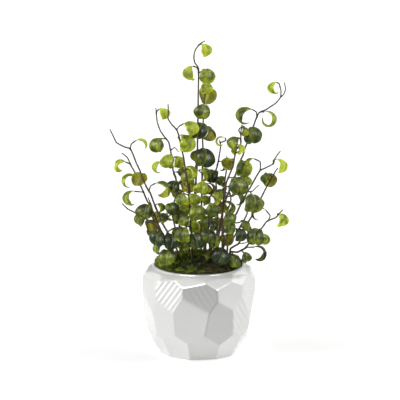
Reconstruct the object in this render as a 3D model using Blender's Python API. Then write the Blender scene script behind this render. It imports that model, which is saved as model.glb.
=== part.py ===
"""Potted weeping fig: a faceted ceramic pot with soil and moss, and leafy stems with curled leaves.

The part stands on the ground at the origin, +Z up. Lengths below are in millimetres.
"""
import math
import random

import bmesh
import bpy
import numpy as np
from mathutils import Vector
from mathutils.bvhtree import BVHTree

MM = 0.001

# Clearance between pieces that touch
GAP = 0.3
LEAF_CLEARANCE = 0.7

# Pot
POT_HEIGHT = 134.6
RIM_RADIUS = 67.5
RIM_CHAMFER = 1.0
SHOULDER_START = (88.5, 122.5)
FACETS_PER_ROW = 11
FLUTE_OPEN = 0.85
FLUTE_DEPTH = 0.8
FLUTES_A_SIDE = 3
FLUTE_REACH = 24.0
RIM_SIDES = 36

# Each facet of a row: its bearing (0 faces the front, + is to the right), its middle's height and
# distance from the axis, and how far its normal leans up. The rest of the row is spaced evenly.
LOWER_ROW = [(-59, 24, 71.0, -30), (-27, 22, 69.2, -31), (6.5, 24, 68.8, -31), (40, 22, 69.4, -31)]
MIDDLE_ROW = [(-38.6, 62, 82.0, -7.6), (-8.4, 66, 80.6, -7.3), (22, 66, 82.3, -12), (53.6, 64, 82.0, -7.8)]
UPPER_ROW = [(-64, 100, 83.0, 1), (-32, 104, 83.1, 6.7), (-1.7, 98, 83.5, 4.7), (34, 106, 85.1, 6.7),
             (67, 104, 83.0, 0)]
SHOULDER_ROW = [(-58, 126, 77.4, 38), (-38.6, 126.5, 78.3, 38), (-9.9, 127, 75.9, 38),
                (22.3, 126.5, 77.6, 38), (49.7, 127, 78.0, 38)]

# Each row from the foot up, and the middle height, distance and lean of its facets round the back
ROWS = [(LOWER_ROW, (23, 69.9, -30.5)), (MIDDLE_ROW, (64.5, 79.9, -10)), (UPPER_ROW, (102.4, 82.3, 1.4)),
        (SHOULDER_ROW, (126.6, 77.9, 38))]

# Fluted facets: bearing and middle height of the facet, the slope of its flutes in degrees and their pitch
FLUTED = [(-32, 104, 54, 7.3), (-1.7, 98, -58, 8.2), (53.6, 64, -46, 9.8), (-38.6, 62, 38, 8.8)]

# Hollow of the pot, outline from the middle of its floor up to the mouth (radius, height)
HOLLOW = [(0, 8), (46, 8), (57, 17), (66, 38), (72.5, 66), (74, 96), (69, 116), (64, 127), (64, 134.6)]
HOLLOW_SIDES = 24

# Soil and moss
SOIL_TOP = 124.0
MOSS_EDGE = 66.6
MOSS_EDGE_TOP = 137.5
MOSS_MIDDLE_TOP = 151.0
MOSS_RINGS = 4
MOSS_SPOKES = 20
MOSS_LUMP = 1.8

# Stems
STEM_SIDES = 4
ROOT_RADIUS = 1.6
TIP_RADIUS = 0.75
ROOT_DEPTH = 112.0
ROOT_TOP = 156.0

# Leaves
BLADE_THICKNESS = 0.9
BLADE_STATIONS = [0.0, 0.14, 0.37, 0.61, 0.84]
BLADE_WIDTHS = [0.14, 0.7, 0.98, 0.95, 0.58]

# A blade's outer side across one half-width and one radius of its curl: edge, lobe, lobe, edge
BLADE_SECTION = [(-0.94, 0.62), (-0.5, 1.0), (0.5, 1.0), (0.94, 0.62)]
SIDES_OF_BLADE = 6
STALK_RADIUS = 0.95
STALK_RISE = 7.0
USUAL_TURN = 255
CURL_SCALE = 1.08
CURL_CLOSING = 0.42
DRAW_SEED = 7

# Nothing above the pot comes lower than its rim within this distance of the axis
WIDEST = 88.0

# The stems are laid out as the front view shows them, tilted by this angle
VIEW_TILT = math.radians(12)

# How far the stems lean to the front and back, as a multiple of the depths written below
DEPTH_SPREAD = 1.35

# One entry for each stem. route: points from the tip down (across, up in the view, depth); root: where it
# enters the soil (x, y); twigs: side shoots; leaves: middle of the curl (across, up), the bearing that the
# leaf grows towards, the curl's size and, where it isn't the usual one, how many degrees it curls; late:
# leaves that find their place after all the others.
STEMS = [
    {"route": [(10, 463, 0), (3.5, 459.5, 0), (-1, 455, 0), (-4.5, 450, 0), (-6.5, 444, 0), (-7, 438, 0),
               (-5.5, 431, 0), (-0.5, 424, 0), (0, 414, 0), (-0.5, 385, 0), (-1.5, 318, 0),
               (-2.5, 273, 1), (-4, 258, 1), (-5, 190, 3)],
     "root": (-5.5, 4),
     "leaves": [(8, 446.7, 45, 21, 200), (-11.3, 414.2, -45, 23, 240), (12, 408.7, 20, 24.5),
                (6, 356.5, 0, 24.5), (2, 328.5, -10, 28), (7.5, 289, 15, 31), (-1.5, 294, -100, 20),
                (5, 245.5, 0, 21), (8, 226, 40, 17)]},
    {"route": [(11, 396, 20), (9.5, 382, 20), (8, 370, 19), (6, 318, 18), (6.5, 306, 17), (5, 250, 16),
               (4, 190, 14)],
     "root": (4, 14),
     "leaves": [(9, 385, 150, 30), (12.5, 327.5, 115, 24), (8, 265, 60, 20), (17, 244, 80, 19),
                (21.5, 225, 70, 20)],
     "late": [(10.5, 393, 0, 19)]},
    {"route": [(-64.5, 367, 32), (-62.5, 346, 31), (-58, 333, 29), (-52, 324, 27), (-45, 315, 25),
               (-43, 306, 24), (-41.5, 298, 23), (-38.5, 273, 20), (-34.5, 261, 19), (-32.5, 249, 18),
               (-31, 234, 17), (-29, 190, 14)],
     "root": (-28, 10),
     "twigs": [[(-42, 303, 24), (-36, 307, 22), (-30, 300, 20)]],
     "leaves": [(-54.7, 356.5, 40, 20, 200), (-60, 309.3, -20, 24), (-43.3, 285, -20, 23),
                (-32, 284, 40, 20), (-60.5, 276.5, -70, 20), (-36, 246.5, -20, 21), (-29.5, 261, 80, 21)]},
    {"route": [(-45, 370, -18), (-44.5, 358, -18), (-45, 348, -18), (-40, 340, -17), (-32.5, 332, -16),
               (-29.5, 324, -16), (-27, 313, -15), (-25, 303, -15), (-22.5, 292, -15), (-20.5, 279, -14),
               (-17.5, 258, -14), (-15, 243, -13), (-11, 190, -12)],
     "root": (-9, -12),
     "leaves": [(-13.7, 330.5, 65, 25), (-22.5, 310.5, 45, 29), (-13.5, 267, 85, 24), (-8.5, 228, 40, 20),
                (-23.5, 228, -30, 20), (-4, 208, 10, 26), (-10, 188, 30, 20)]},
    {"route": [(-131.5, 333, -14), (-127, 324, -14), (-121.5, 313, -14), (-110.5, 307, -14),
               (-101.5, 304, -13), (-97, 295, -13), (-92.5, 283, -13), (-86.5, 270, -13),
               (-82.5, 258, -12), (-77.5, 247, -12), (-71.5, 237, -12), (-65.5, 220, -11),
               (-61, 210, -11), (-53.5, 192, -10), (-42, 172, -9)],
     "root": (-32, -8),
     "leaves": [(-85.5, 309, 90, 21, 190), (-87.3, 257.5, 180, 24), (-55.3, 242.3, 95, 27),
                (-57.5, 216, 60, 15), (-53, 200.5, 50, 16), (-40.5, 213.5, 15, 21), (-31.5, 201, 30, 24)]},
    {"route": [(-116.5, 299, 22), (-112, 296, 22), (-107.5, 292, 22), (-104.5, 286, 21),
               (-101.5, 279, 21), (-97, 271, 20), (-93, 262, 20), (-85, 244, 18), (-77.5, 226, 17),
               (-73, 220, 16), (-58, 184, 12), (-47, 166, 9)],
     "root": (-39, 6),
     "leaves": [(-118, 278.5, -85, 21), (-105, 255.5, -85, 25), (-102, 229.5, -65, 25),
                (-78.3, 208.5, -10, 26.5), (-86, 197, -50, 22), (-75, 186, 150, 23)]},
    {"route": [(-113, 223, -38), (-104, 214.5, -38), (-91, 208, -37), (-65.5, 192, -34), (-58, 183, -32),
               (-47, 164, -27)],
     "root": (-40, -22),
     "leaves": [(-60.2, 169.5, -20, 25), (-59.5, 154.5, -60, 17), (-40.2, 166, 10, 27),
                (-31, 180, 60, 17), (-47.3, 142.5, -20, 27)]},
    {"route": [(31.5, 319, 28), (33.5, 310, 28), (32, 300, 28), (30, 288, 27), (27.5, 277, 26),
               (25.5, 271, 26), (27.5, 238, 24), (29, 223, 22), (28, 180, 18)],
     "root": (26, 16),
     "leaves": [(32.5, 316, -90, 17, 290), (36, 279, 60, 17), (21.7, 262.5, -30, 23)],
     "late": [(34.5, 255, -30, 17)]},
    {"route": [(120.5, 399, 8), (122.5, 391, 8), (122, 381, 8), (114.5, 372, 8), (107, 367, 8),
               (101, 363, 8), (90, 358, 7), (87, 352, 7), (84.5, 346, 7), (81.5, 337, 6), (72.5, 313, 6),
               (69.5, 306, 5), (66.5, 295, 5), (63.5, 289, 5), (59, 276, 4), (38, 220, 2), (31, 180, 1)],
     "root": (29, 0),
     "twigs": [[(122, 381, 8), (126.5, 385, 8), (129.5, 393, 8), (127.5, 403, 8)]],
     "leaves": [(112.5, 392.5, -60, 20), (104, 347.5, 80, 27, 330), (70, 352.7, -85, 29),
                (79.5, 322.8, 10, 28), (65.5, 273, 30, 28), (69, 256, 20, 16)]},
    {"route": [(63.5, 339, -30), (62, 325, -30), (62, 310, -29), (56, 303, -28), (53, 291, -28),
               (51.5, 280, -27), (45.5, 265, -26), (41, 253, -25), (38, 235, -23), (35, 205, -19),
               (30, 175, -16)],
     "root": (27, -14),
     "leaves": [(65.5, 329, 120, 16), (53.3, 310.3, -40, 21), (60.8, 302, 30, 15),
                (54.5, 299.5, -120, 14), (44.5, 280, -150, 21), (57, 248, 10, 29), (59, 228, 60, 19),
                (44, 216, 80, 22)]},
    {"route": [(121.5, 301, -16), (116, 294, -16), (112.5, 288, -16), (111, 282, -16), (98, 275, -16),
               (91.5, 272, -16), (83, 258, -16), (77, 247, -17), (72.5, 240, -17), (68, 231, -18),
               (60.5, 217, -19), (56, 207, -20), (39.5, 183, -22), (30, 168, -24)],
     "root": (21, -26),
     "twigs": [[(72.5, 240, -17), (80, 241, -17), (86, 247, -17), (90.5, 251, -17)]],
     "leaves": [(118.3, 277.7, 65, 23, 220), (77.5, 281, -90, 18, 190), (78.5, 221.5, 20, 30),
                (88, 222, 60, 19), (66.5, 189, 45, 18)]},
    {"route": [(120.5, 277, 26), (116, 271, 26), (113, 265, 25), (107, 255, 24), (101, 244, 23),
               (96.5, 235, 22), (81.5, 205, 18), (75.5, 195, 16), (69.5, 181, 14), (60.5, 162, 9)],
     "root": (48, 6),
     "twigs": [[(60.5, 162, 9), (70, 163, 9), (77, 166, 9)]],
     "leaves": [(104.5, 258, 160, 24), (102, 254.5, -40, 17)]},
    {"route": [(125, 214, -28), (119, 207, -28), (114.5, 202, -28), (107, 199, -28), (101, 196, -28),
               (96.5, 190, -28), (93.5, 186, -27), (77, 166, -24), (69.5, 156, -21), (58, 150, -18)],
     "root": (48, -15),
     "leaves": [(122.3, 197.5, 40, 21), (89, 207, -90, 24), (86, 172, -20, 28), (96, 169, 60, 18),
                (90.3, 147, 90, 25), (70, 141.5, 20, 17)]},
    {"route": [(42.5, 295, 36), (44, 285, 36), (41, 265, 35), (38, 235, 32), (36, 190, 27)],
     "root": (36, 22),
     "leaves": [(48, 240, 100, 20), (30, 215, 170, 22)]},
    {"route": [(-14, 214, -34), (-12, 196, -33), (-11, 178, -31), (-10, 165, -29)],
     "root": (-10, -26),
     "leaves": [(-20.5, 175, -20, 24), (-28, 163, -90, 13), (-4, 166, 10, 28), (-19, 196, -40, 19)]},
    {"route": [(15, 206, -37), (15, 190, -36), (13, 175, -33)],
     "root": (9, -30),
     "leaves": [(12.5, 174, 20, 24), (23, 165, 70, 20), (20, 189, 40, 17), (10, 142, 80, 14)]},
    {"route": [(46, 212, -42), (47, 196, -41), (45, 180, -40), (40, 166, -36)],
     "root": (33, -30),
     "leaves": [(45.5, 199, 10, 19), (47, 186, -20, 21), (41, 167, 170, 21), (59, 175, 40, 21),
                (31.7, 144, 10, 27), (51, 135.5, 20, 20)]},
    {"route": [(-30, 258, 74), (-33, 240, 70), (-38, 225, 66), (-40, 203, 56), (-34, 178, 44)],
     "root": (-26, 34),
     "leaves": [(-22, 250, 150, 22), (-30, 236, -140, 20), (-30, 216, 120, 22), (-42, 203, -100, 20),
                (-30, 176, 170, 22)]},
    {"route": [(-8, 300, 62), (-4, 284, 60), (-8, 262, 56), (-5, 230, 50), (-4, 180, 42)],
     "root": (-4, 36),
     "leaves": [(4, 292, 160, 20), (-20, 268, -150, 22), (8, 244, 130, 22), (-16, 214, -140, 21),
                (4, 184, 150, 22)]},
    {"route": [(52, 262, 80), (47, 246, 76), (50, 228, 70), (40, 200, 58), (28, 176, 46)],
     "root": (20, 36),
     "leaves": [(62, 250, 130, 20), (38, 236, -150, 22), (47, 216, 110, 20), (30, 190, 180, 22),
                (44, 176, 100, 20)]},
    {"route": [(82, 236, 54), (76, 222, 52), (74, 206, 48), (62, 184, 40), (52, 168, 32)],
     "root": (44, 24),
     "leaves": [(88, 222, 120, 20), (84, 174, 170, 21), (72, 180, 100, 20)]},
    {"route": [(-78, 232, 52), (-72, 218, 50), (-72, 204, 46), (-62, 184, 40), (-52, 168, 32)],
     "root": (-42, 24),
     "leaves": [(-84, 211, -130, 18), (-62, 200, 170, 21), (-70, 180, -110, 20)]},
    {"route": [(17, 234, -20), (16, 215, -22), (14, 190, -24), (12, 172, -22)],
     "root": (8, -19),
     "leaves": [(17, 213, 20, 22), (15, 195, -30, 21), (27, 230, 70, 18), (15, 161, 25, 21)]},
    {"route": [(-15, 276, 6), (-14, 252, 5), (-12, 220, 3), (-10, 185, 2)],
     "root": (-14, 1),
     "leaves": [(-12, 262, -20, 22), (-15, 246, 130, 20), (-18, 205, -60, 22), (-19, 161, -20, 22)]},
]


def material(name, colour, roughness):
    """A plain material: colour, roughness, not metallic."""
    made = bpy.data.materials.new(name)
    made.use_nodes = True
    shader = made.node_tree.nodes["Principled BSDF"]
    shader.inputs["Base Color"].default_value = (*colour, 1.0)
    shader.inputs["Roughness"].default_value = roughness
    shader.inputs["Metallic"].default_value = 0.0
    return made


def object_from(name, verts, faces, finish):
    """A new object from corner points in millimetres and faces, which are turned to point outwards."""
    mesh = bpy.data.meshes.new(name)
    mesh.from_pydata([[c * MM for c in v] for v in verts], [], faces)
    bm = bmesh.new()
    bm.from_mesh(mesh)
    bmesh.ops.recalc_face_normals(bm, faces=bm.faces)
    bm.to_mesh(mesh)
    bm.free()
    mesh.materials.append(finish)
    made = bpy.data.objects.new(name, mesh)
    bpy.context.collection.objects.link(made)
    return made


def apply_boolean(target, cutter, operation):
    """Cuts, joins or crosses the target with one object or a collection, and removes what it used."""
    step = target.modifiers.new("cut", "BOOLEAN")
    step.operation = operation
    step.solver = "EXACT"
    if isinstance(cutter, bpy.types.Collection):
        step.operand_type = "COLLECTION"
        step.collection = cutter
        used = list(cutter.objects)
    else:
        step.object = cutter
        used = [cutter]
    shape = target.evaluated_get(bpy.context.evaluated_depsgraph_get())
    result = bpy.data.meshes.new_from_object(shape)
    target.modifiers.remove(step)
    target.data = result
    for piece in used:
        bpy.data.objects.remove(piece)
    if isinstance(cutter, bpy.types.Collection):
        bpy.data.collections.remove(cutter)


def lathe(outline, sides):
    """Turns an outline (radius, height), whose two ends are on the axis, about the Z axis."""
    verts = [(0.0, 0.0, outline[0][1])]
    for radius, height in outline[1:-1]:
        for k in range(sides):
            a = 2 * math.pi * k / sides
            verts.append((radius * math.cos(a), radius * math.sin(a), height))
    verts.append((0.0, 0.0, outline[-1][1]))
    top, rings = len(verts) - 1, len(outline) - 2
    faces = []
    for k in range(sides):
        n = (k + 1) % sides
        faces.append((0, 1 + n, 1 + k))
        for r in range(rings - 1):
            low, high = 1 + r * sides, 1 + (r + 1) * sides
            faces.append((low + k, low + n, high + n, high + k))
        last = 1 + (rings - 1) * sides
        faces.append((last + k, last + n, top))
    return verts, faces


# Pot

def bearing_vector(bearing, lean=0.0):
    """The direction that a bearing points to, raised by lean; 0 is the front, -Y."""
    a, t = math.radians(bearing), math.radians(lean)
    return Vector((math.sin(a) * math.cos(t), -math.cos(a) * math.cos(t), math.sin(t)))


def full_row(front, back):
    """A row's front facets, and its other facets spaced evenly round the back."""
    last, around = front[-1], front[0][0] + 360 - front[-1][0]
    steps = FACETS_PER_ROW - len(front) + 1
    return front + [(last[0] + around * k / steps, *back) for k in range(1, steps)]


def facets():
    """Every facet: bearing, a point on it and its outward normal."""
    made = []
    for front, back in ROWS:
        for bearing, height, distance, lean in full_row(front, back):
            point = bearing_vector(bearing) * distance + Vector((0, 0, height))
            made.append((bearing, height, point, bearing_vector(bearing, lean)))
    return made


def faceted_block():
    """A block cut by the facets' planes, the ground and the mouth's plane."""
    bm = bmesh.new()
    bmesh.ops.create_cube(bm, size=300.0)
    planes = [(point, normal) for _, _, point, normal in facets()]
    planes += [(Vector((0, 0, 0)), Vector((0, 0, -1))), (Vector((0, 0, POT_HEIGHT)), Vector((0, 0, 1)))]
    for point, normal in planes:
        parts = bm.verts[:] + bm.edges[:] + bm.faces[:]
        cut = bmesh.ops.bisect_plane(bm, geom=parts, plane_co=point, plane_no=normal, clear_outer=True)
        rim = [g for g in cut["geom_cut"] if isinstance(g, bmesh.types.BMEdge)]
        bmesh.ops.holes_fill(bm, edges=rim)
    bm.verts.index_update()
    verts = [tuple(v.co) for v in bm.verts]
    faces = [[v.index for v in f.verts] for f in bm.faces]
    bm.free()
    return verts, faces


def flute_bars(point, normal, slope, pitch):
    """Sharp-edged bars, side by side on one facet, that cut its flutes."""
    level = Vector((0, 0, 1)).cross(normal).normalized()
    rising = normal.cross(level)
    along = level * math.cos(slope) + rising * math.sin(slope)
    across = normal.cross(along)
    above = FLUTE_DEPTH * 0.15
    profile = [(-0.575, above), (0.0, -FLUTE_DEPTH), (0.575, above)]
    verts, faces = [], []
    for k in range(-FLUTES_A_SIDE, FLUTES_A_SIDE + 1):
        middle = point + across * (k * pitch)
        start = len(verts)
        for end in (-FLUTE_REACH, FLUTE_REACH):
            for side, lift in profile:
                verts.append(tuple(middle + along * end + across * (side * FLUTE_OPEN * pitch) + normal * lift))
        faces += [(start, start + 1, start + 2), (start + 3, start + 4, start + 5)]
        for p in range(3):
            q = (p + 1) % 3
            faces.append((start + p, start + q, start + 3 + q, start + 3 + p))
    return verts, faces


def make_pot():
    glaze = material("white_glaze", (0.83, 0.83, 0.81), 0.2)
    pot = object_from("pot", *faceted_block(), glaze)
    lip_low = (RIM_RADIUS + RIM_CHAMFER, POT_HEIGHT - RIM_CHAMFER * 1.6)
    lip_high = (RIM_RADIUS - RIM_CHAMFER * 0.4, POT_HEIGHT + 0.01)
    rim = [(0, -1), (SHOULDER_START[0], -1), SHOULDER_START, lip_low, lip_high, (0, POT_HEIGHT + 1)]
    apply_boolean(pot, object_from("rim_guide", *lathe(rim, RIM_SIDES), glaze), "INTERSECT")
    fluted = {(bearing, height): (math.radians(slope), pitch) for bearing, height, slope, pitch in FLUTED}
    for bearing, height, point, normal in facets():
        if (bearing, height) in fluted:
            bars = flute_bars(point, normal, *fluted[(bearing, height)])
            apply_boolean(pot, object_from("flute_cutter", *bars, glaze), "DIFFERENCE")
    mouth = (HOLLOW[-1][0], POT_HEIGHT + 2)
    cutter = object_from("hollow_cutter", *lathe([*HOLLOW[:-1], mouth, (0, mouth[1])], HOLLOW_SIDES), glaze)
    apply_boolean(pot, cutter, "DIFFERENCE")
    pot.data.shade_flat()
    return pot


# Soil and moss

def hollow_radius(height):
    """The pot's inner radius at a height."""
    return float(np.interp(height, [p[1] for p in HOLLOW[1:]], [p[0] for p in HOLLOW[1:]]))


def make_soil():
    earth = material("soil", (0.06, 0.035, 0.02), 0.95)
    inset = GAP * 1.6
    outline = [(0, HOLLOW[0][1] + GAP)]
    outline += [(radius - inset, height + GAP) for radius, height in HOLLOW[1:] if height + GAP < SOIL_TOP - 3]
    outline += [(hollow_radius(SOIL_TOP) - inset, SOIL_TOP), (0, SOIL_TOP)]
    return object_from("soil", *lathe(outline, HOLLOW_SIDES // 2), earth)


def moss_height(x, y):
    """The moss's surface: a low mound with lumps."""
    out = math.hypot(x, y) / MOSS_EDGE
    mound = MOSS_EDGE_TOP + (MOSS_MIDDLE_TOP - MOSS_EDGE_TOP) * (1 - out ** 2)
    waves = math.sin(x * 0.31 + 1.3) * math.cos(y * 0.27 + 0.4) + 0.6 * math.sin(x * 0.13 - y * 0.37 + 2.0)
    return mound + MOSS_LUMP * waves * (1 - 0.5 * out)


def make_moss():
    green = material("moss", (0.09, 0.13, 0.02), 0.95)
    plug, plug_low, plug_high = HOLLOW[-1][0] - GAP * 2.5, SOIL_TOP + GAP, POT_HEIGHT + GAP
    verts, faces = [(0.0, 0.0, plug_low)], []
    sections = [(plug, plug_low), (plug, plug_high), (MOSS_EDGE, plug_high)]
    for radius, height in sections:
        for k in range(MOSS_SPOKES):
            a = 2 * math.pi * k / MOSS_SPOKES
            verts.append((radius * math.cos(a), radius * math.sin(a), height))
    for ring in range(MOSS_RINGS):
        radius = MOSS_EDGE * (1 - ring / MOSS_RINGS) - (0.8 if ring == 0 else 0.0)
        for k in range(MOSS_SPOKES):
            a = 2 * math.pi * k / MOSS_SPOKES
            x, y = radius * math.cos(a), radius * math.sin(a)
            verts.append((x, y, moss_height(x, y)))
    verts.append((0.0, 0.0, moss_height(0.0, 0.0)))
    rings, top = len(sections) + MOSS_RINGS, len(verts) - 1
    for k in range(MOSS_SPOKES):
        n = (k + 1) % MOSS_SPOKES
        faces.append((0, 1 + n, 1 + k))
        for r in range(rings - 1):
            low, high = 1 + r * MOSS_SPOKES, 1 + (r + 1) * MOSS_SPOKES
            faces += [(low + k, low + n, high + n), (low + k, high + n, high + k)]
        last = 1 + (rings - 1) * MOSS_SPOKES
        faces.append((last + k, last + n, top))
    return object_from("moss", verts, faces, green)


def cut_root_holes(target, low, high):
    """Plain square holes for the stems, a little wider than each root."""
    verts, faces = [], []
    for stem in STEMS:
        x, y = stem["root"]
        start, sides = len(verts), 4
        radius = (ROOT_RADIUS + GAP) / math.cos(math.pi / sides)
        for height in (low, high):
            for k in range(sides):
                a = 2 * math.pi * k / sides
                verts.append((x + radius * math.cos(a), y + radius * math.sin(a), height))
        faces += [tuple(range(start, start + sides)), tuple(range(start + sides, start + 2 * sides))]
        for k in range(sides):
            n = (k + 1) % sides
            faces.append((start + k, start + n, start + sides + n, start + sides + k))
    cutter = object_from("root_holes", verts, faces, target.data.materials[0])
    apply_boolean(target, cutter, "DIFFERENCE")


# Stems and leaves

def seen(across, up, depth):
    """A point of the front view, at a depth behind the pot's axis, as a place in the part's frame."""
    return np.array([across, depth, (up - depth * math.sin(VIEW_TILT)) / math.cos(VIEW_TILT)])


def stem_lines(stem):
    """The stem's main line from the tip to the root, and those of its twigs, each with its two radii."""
    x, y = stem["root"]
    main = [seen(across, up, depth * DEPTH_SPREAD) for across, up, depth in stem["route"]]
    main += [np.array([x, y, ROOT_TOP]), np.array([x, y, ROOT_DEPTH])]
    lines = [(main, TIP_RADIUS, ROOT_RADIUS)]
    for twig in stem.get("twigs", []):
        points = [seen(across, up, depth * DEPTH_SPREAD) for across, up, depth in twig]
        lines.append((points, ROOT_RADIUS * 0.6, TIP_RADIUS))
    return lines


def tube(points, start_radius, end_radius, sides):
    """A tapered tube along points, closed at both ends."""
    lengths = np.cumsum([0.0] + [float(np.linalg.norm(b - a)) for a, b in zip(points, points[1:])])
    verts, faces = [], []
    side = np.array([1.0, 0.0, 0.0])
    for i, point in enumerate(points):
        ahead = points[min(i + 1, len(points) - 1)] - points[max(i - 1, 0)]
        ahead = ahead / np.linalg.norm(ahead)
        side = side - ahead * float(side @ ahead)
        side = side / np.linalg.norm(side)
        other = np.cross(ahead, side)
        radius = start_radius + (end_radius - start_radius) * lengths[i] / lengths[-1]
        for k in range(sides):
            a = 2 * math.pi * k / sides
            verts.append(point + radius * (math.cos(a) * side + math.sin(a) * other))
    for i in range(len(points) - 1):
        low, high = i * sides, (i + 1) * sides
        for k in range(sides):
            n = (k + 1) % sides
            faces += [(low + k, low + n, high + n), (low + k, high + n, high + k)]
    for first in (0, (len(points) - 1) * sides):
        faces += [(first, first + k, first + k + 1) for k in range(1, sides - 1)]
    return verts, faces


def nearest_on(lines, target, spacing=2.0):
    """The place on a stem's lines nearest to a target."""
    best, best_distance = None, 1e9
    for points, _, _ in lines:
        for a, b in zip(points, points[1:]):
            steps = max(1, int(np.linalg.norm(b - a) / spacing))
            for k in range(steps + 1):
                place = a + (b - a) * k / steps
                distance = float(np.linalg.norm(place - target))
                if distance < best_distance:
                    best, best_distance = place, distance
    return best


def leaf_frame(heading, lean):
    """A leaf's three directions: outwards, sideways and up, leaned over sideways."""
    a = math.radians(heading)
    out = np.array([math.sin(a), -math.cos(a), 0.0])
    side = np.cross(out, [0.0, 0.0, 1.0])
    up = np.array([0.0, 0.0, 1.0]) * math.cos(lean) + side * math.sin(lean)
    return out, np.cross(out, up), up


def leaf_solid(centre, leaf, lines, lean, start):
    """One curled leaf and its stalk, as corner points and faces."""
    size, turn = leaf[3] * CURL_SCALE, leaf[4] if len(leaf) > 4 else USUAL_TURN
    out, side, up = leaf_frame(leaf[2], lean)
    verts = []
    for station, width in zip(BLADE_STATIONS, BLADE_WIDTHS):
        angle = start - math.radians(turn) * station
        radius = size / 2 * (1 - CURL_CLOSING * station * turn / 360)
        radial = out * math.cos(angle) + up * math.sin(angle)
        half = size / 2 * width
        outer = [(half * a, radius * (1 - (1 - r) * width)) for a, r in BLADE_SECTION]
        inner = [(a, r - BLADE_THICKNESS) for a, r in reversed(outer[1:-1])]
        verts += [centre + side * a + radial * r for a, r in outer + inner]
    tip_angle, tip_radius = start - math.radians(turn), size / 2 * (1 - CURL_CLOSING * turn / 360)
    verts.append(centre + tip_radius * (out * math.cos(tip_angle) + up * math.sin(tip_angle)))
    base = sum(verts[:SIDES_OF_BLADE]) / SIDES_OF_BLADE
    root = nearest_on(lines, base - np.array([0.0, 0.0, STALK_RISE]))
    ahead = (base - root) / np.linalg.norm(base - root)
    flat = side - ahead * float(side @ ahead)
    flat = flat / np.linalg.norm(flat)
    lift = np.cross(flat, ahead)
    if float(lift @ (verts[1] - verts[5])) < 0:
        lift = -lift
    stalk = [root + STALK_RADIUS * corner for corner in (lift - flat, lift + flat, flat - lift, -flat - lift)]
    return stalk + verts, LEAF_FACES


def leaf_faces():
    """A leaf's faces: the stalk, the blade, whose two sides are split the same way, and the tip."""
    faces = [(0, 2, 1), (0, 3, 2), (0, 1, 5), (1, 2, 6), (1, 6, 5), (2, 7, 6)]
    faces += [(2, 3, 8), (2, 8, 7), (3, 0, 4), (3, 4, 9), (3, 9, 8), (0, 5, 4)]
    outer, inner = [(0, 1), (1, 2), (2, 3)], [(0, 5), (5, 4), (4, 3)]
    n = SIDES_OF_BLADE
    for i in range(len(BLADE_STATIONS) - 1):
        low, high = 4 + n * i, 4 + n * (i + 1)
        for a, b in outer:
            faces += [(low + a, low + b, high + b), (low + a, high + b, high + a)]
        for a, b in inner:
            faces += [(low + a, high + b, low + b), (low + a, high + a, high + b)]
    last = 4 + n * (len(BLADE_STATIONS) - 1)
    faces += [(last + k, last + (k + 1) % n, last + n) for k in range(n)]
    return faces


LEAF_FACES = leaf_faces()


def swollen(verts, faces, by):
    """The same closed shape with its surface moved out, to test for clearance."""
    points, corners = np.array(verts), np.array(faces)
    a, b, c = points[corners[:, 0]], points[corners[:, 1]], points[corners[:, 2]]
    normal = np.cross(b - a, c - a)
    if float(np.einsum("ij,ij->i", a, np.cross(b, c)).sum()) < 0:
        normal = -normal
    outward = np.zeros_like(points)
    for corner in range(3):
        np.add.at(outward, corners[:, corner], normal)
    return points + by * outward / np.linalg.norm(outward, axis=1, keepdims=True)


def tree_of(verts, faces):
    return BVHTree.FromPolygons([tuple(v) for v in verts], faces, all_triangles=True)


class Placed:
    """The solids placed so far, with the box round each, to find what a new one would touch."""

    def __init__(self):
        self.trees, self.lows, self.highs = [], [], []

    def add(self, verts, faces):
        points = np.array(verts)
        self.trees.append(tree_of(verts, faces))
        self.lows.append(points.min(axis=0))
        self.highs.append(points.max(axis=0))

    def touches(self, verts, faces, skip=()):
        points = np.array(verts)
        low, high = points.min(axis=0), points.max(axis=0)
        own = None
        for i, tree in enumerate(self.trees):
            if i in skip or np.any(self.lows[i] > high) or np.any(self.highs[i] < low):
                continue
            own = own or tree_of(verts, faces)
            if tree.overlap(own):
                return True
        return False


def clears_pot(verts):
    """Whether a leaf stays above the moss and the pot's shoulder."""
    for x, y, z in verts:
        out = math.hypot(x, y)
        if out < MOSS_EDGE + 1 and z < moss_height(x, y) + 1:
            return False
        if out < WIDEST and z < POT_HEIGHT + 1.5:
            return False
    return True


def leaf_moves():
    """The small moves tried for a leaf, the least first: nearer or farther, turned about its stem, and up."""
    moves = []
    for depth in range(-30, 31, 3):
        for turned in range(-40, 41, 20):
            for up in (0, 4, 8):
                moves.append((abs(depth) / 3 + abs(turned) / 8 + up, depth, turned, up))
    return [move[1:] for move in sorted(moves)]


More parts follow.
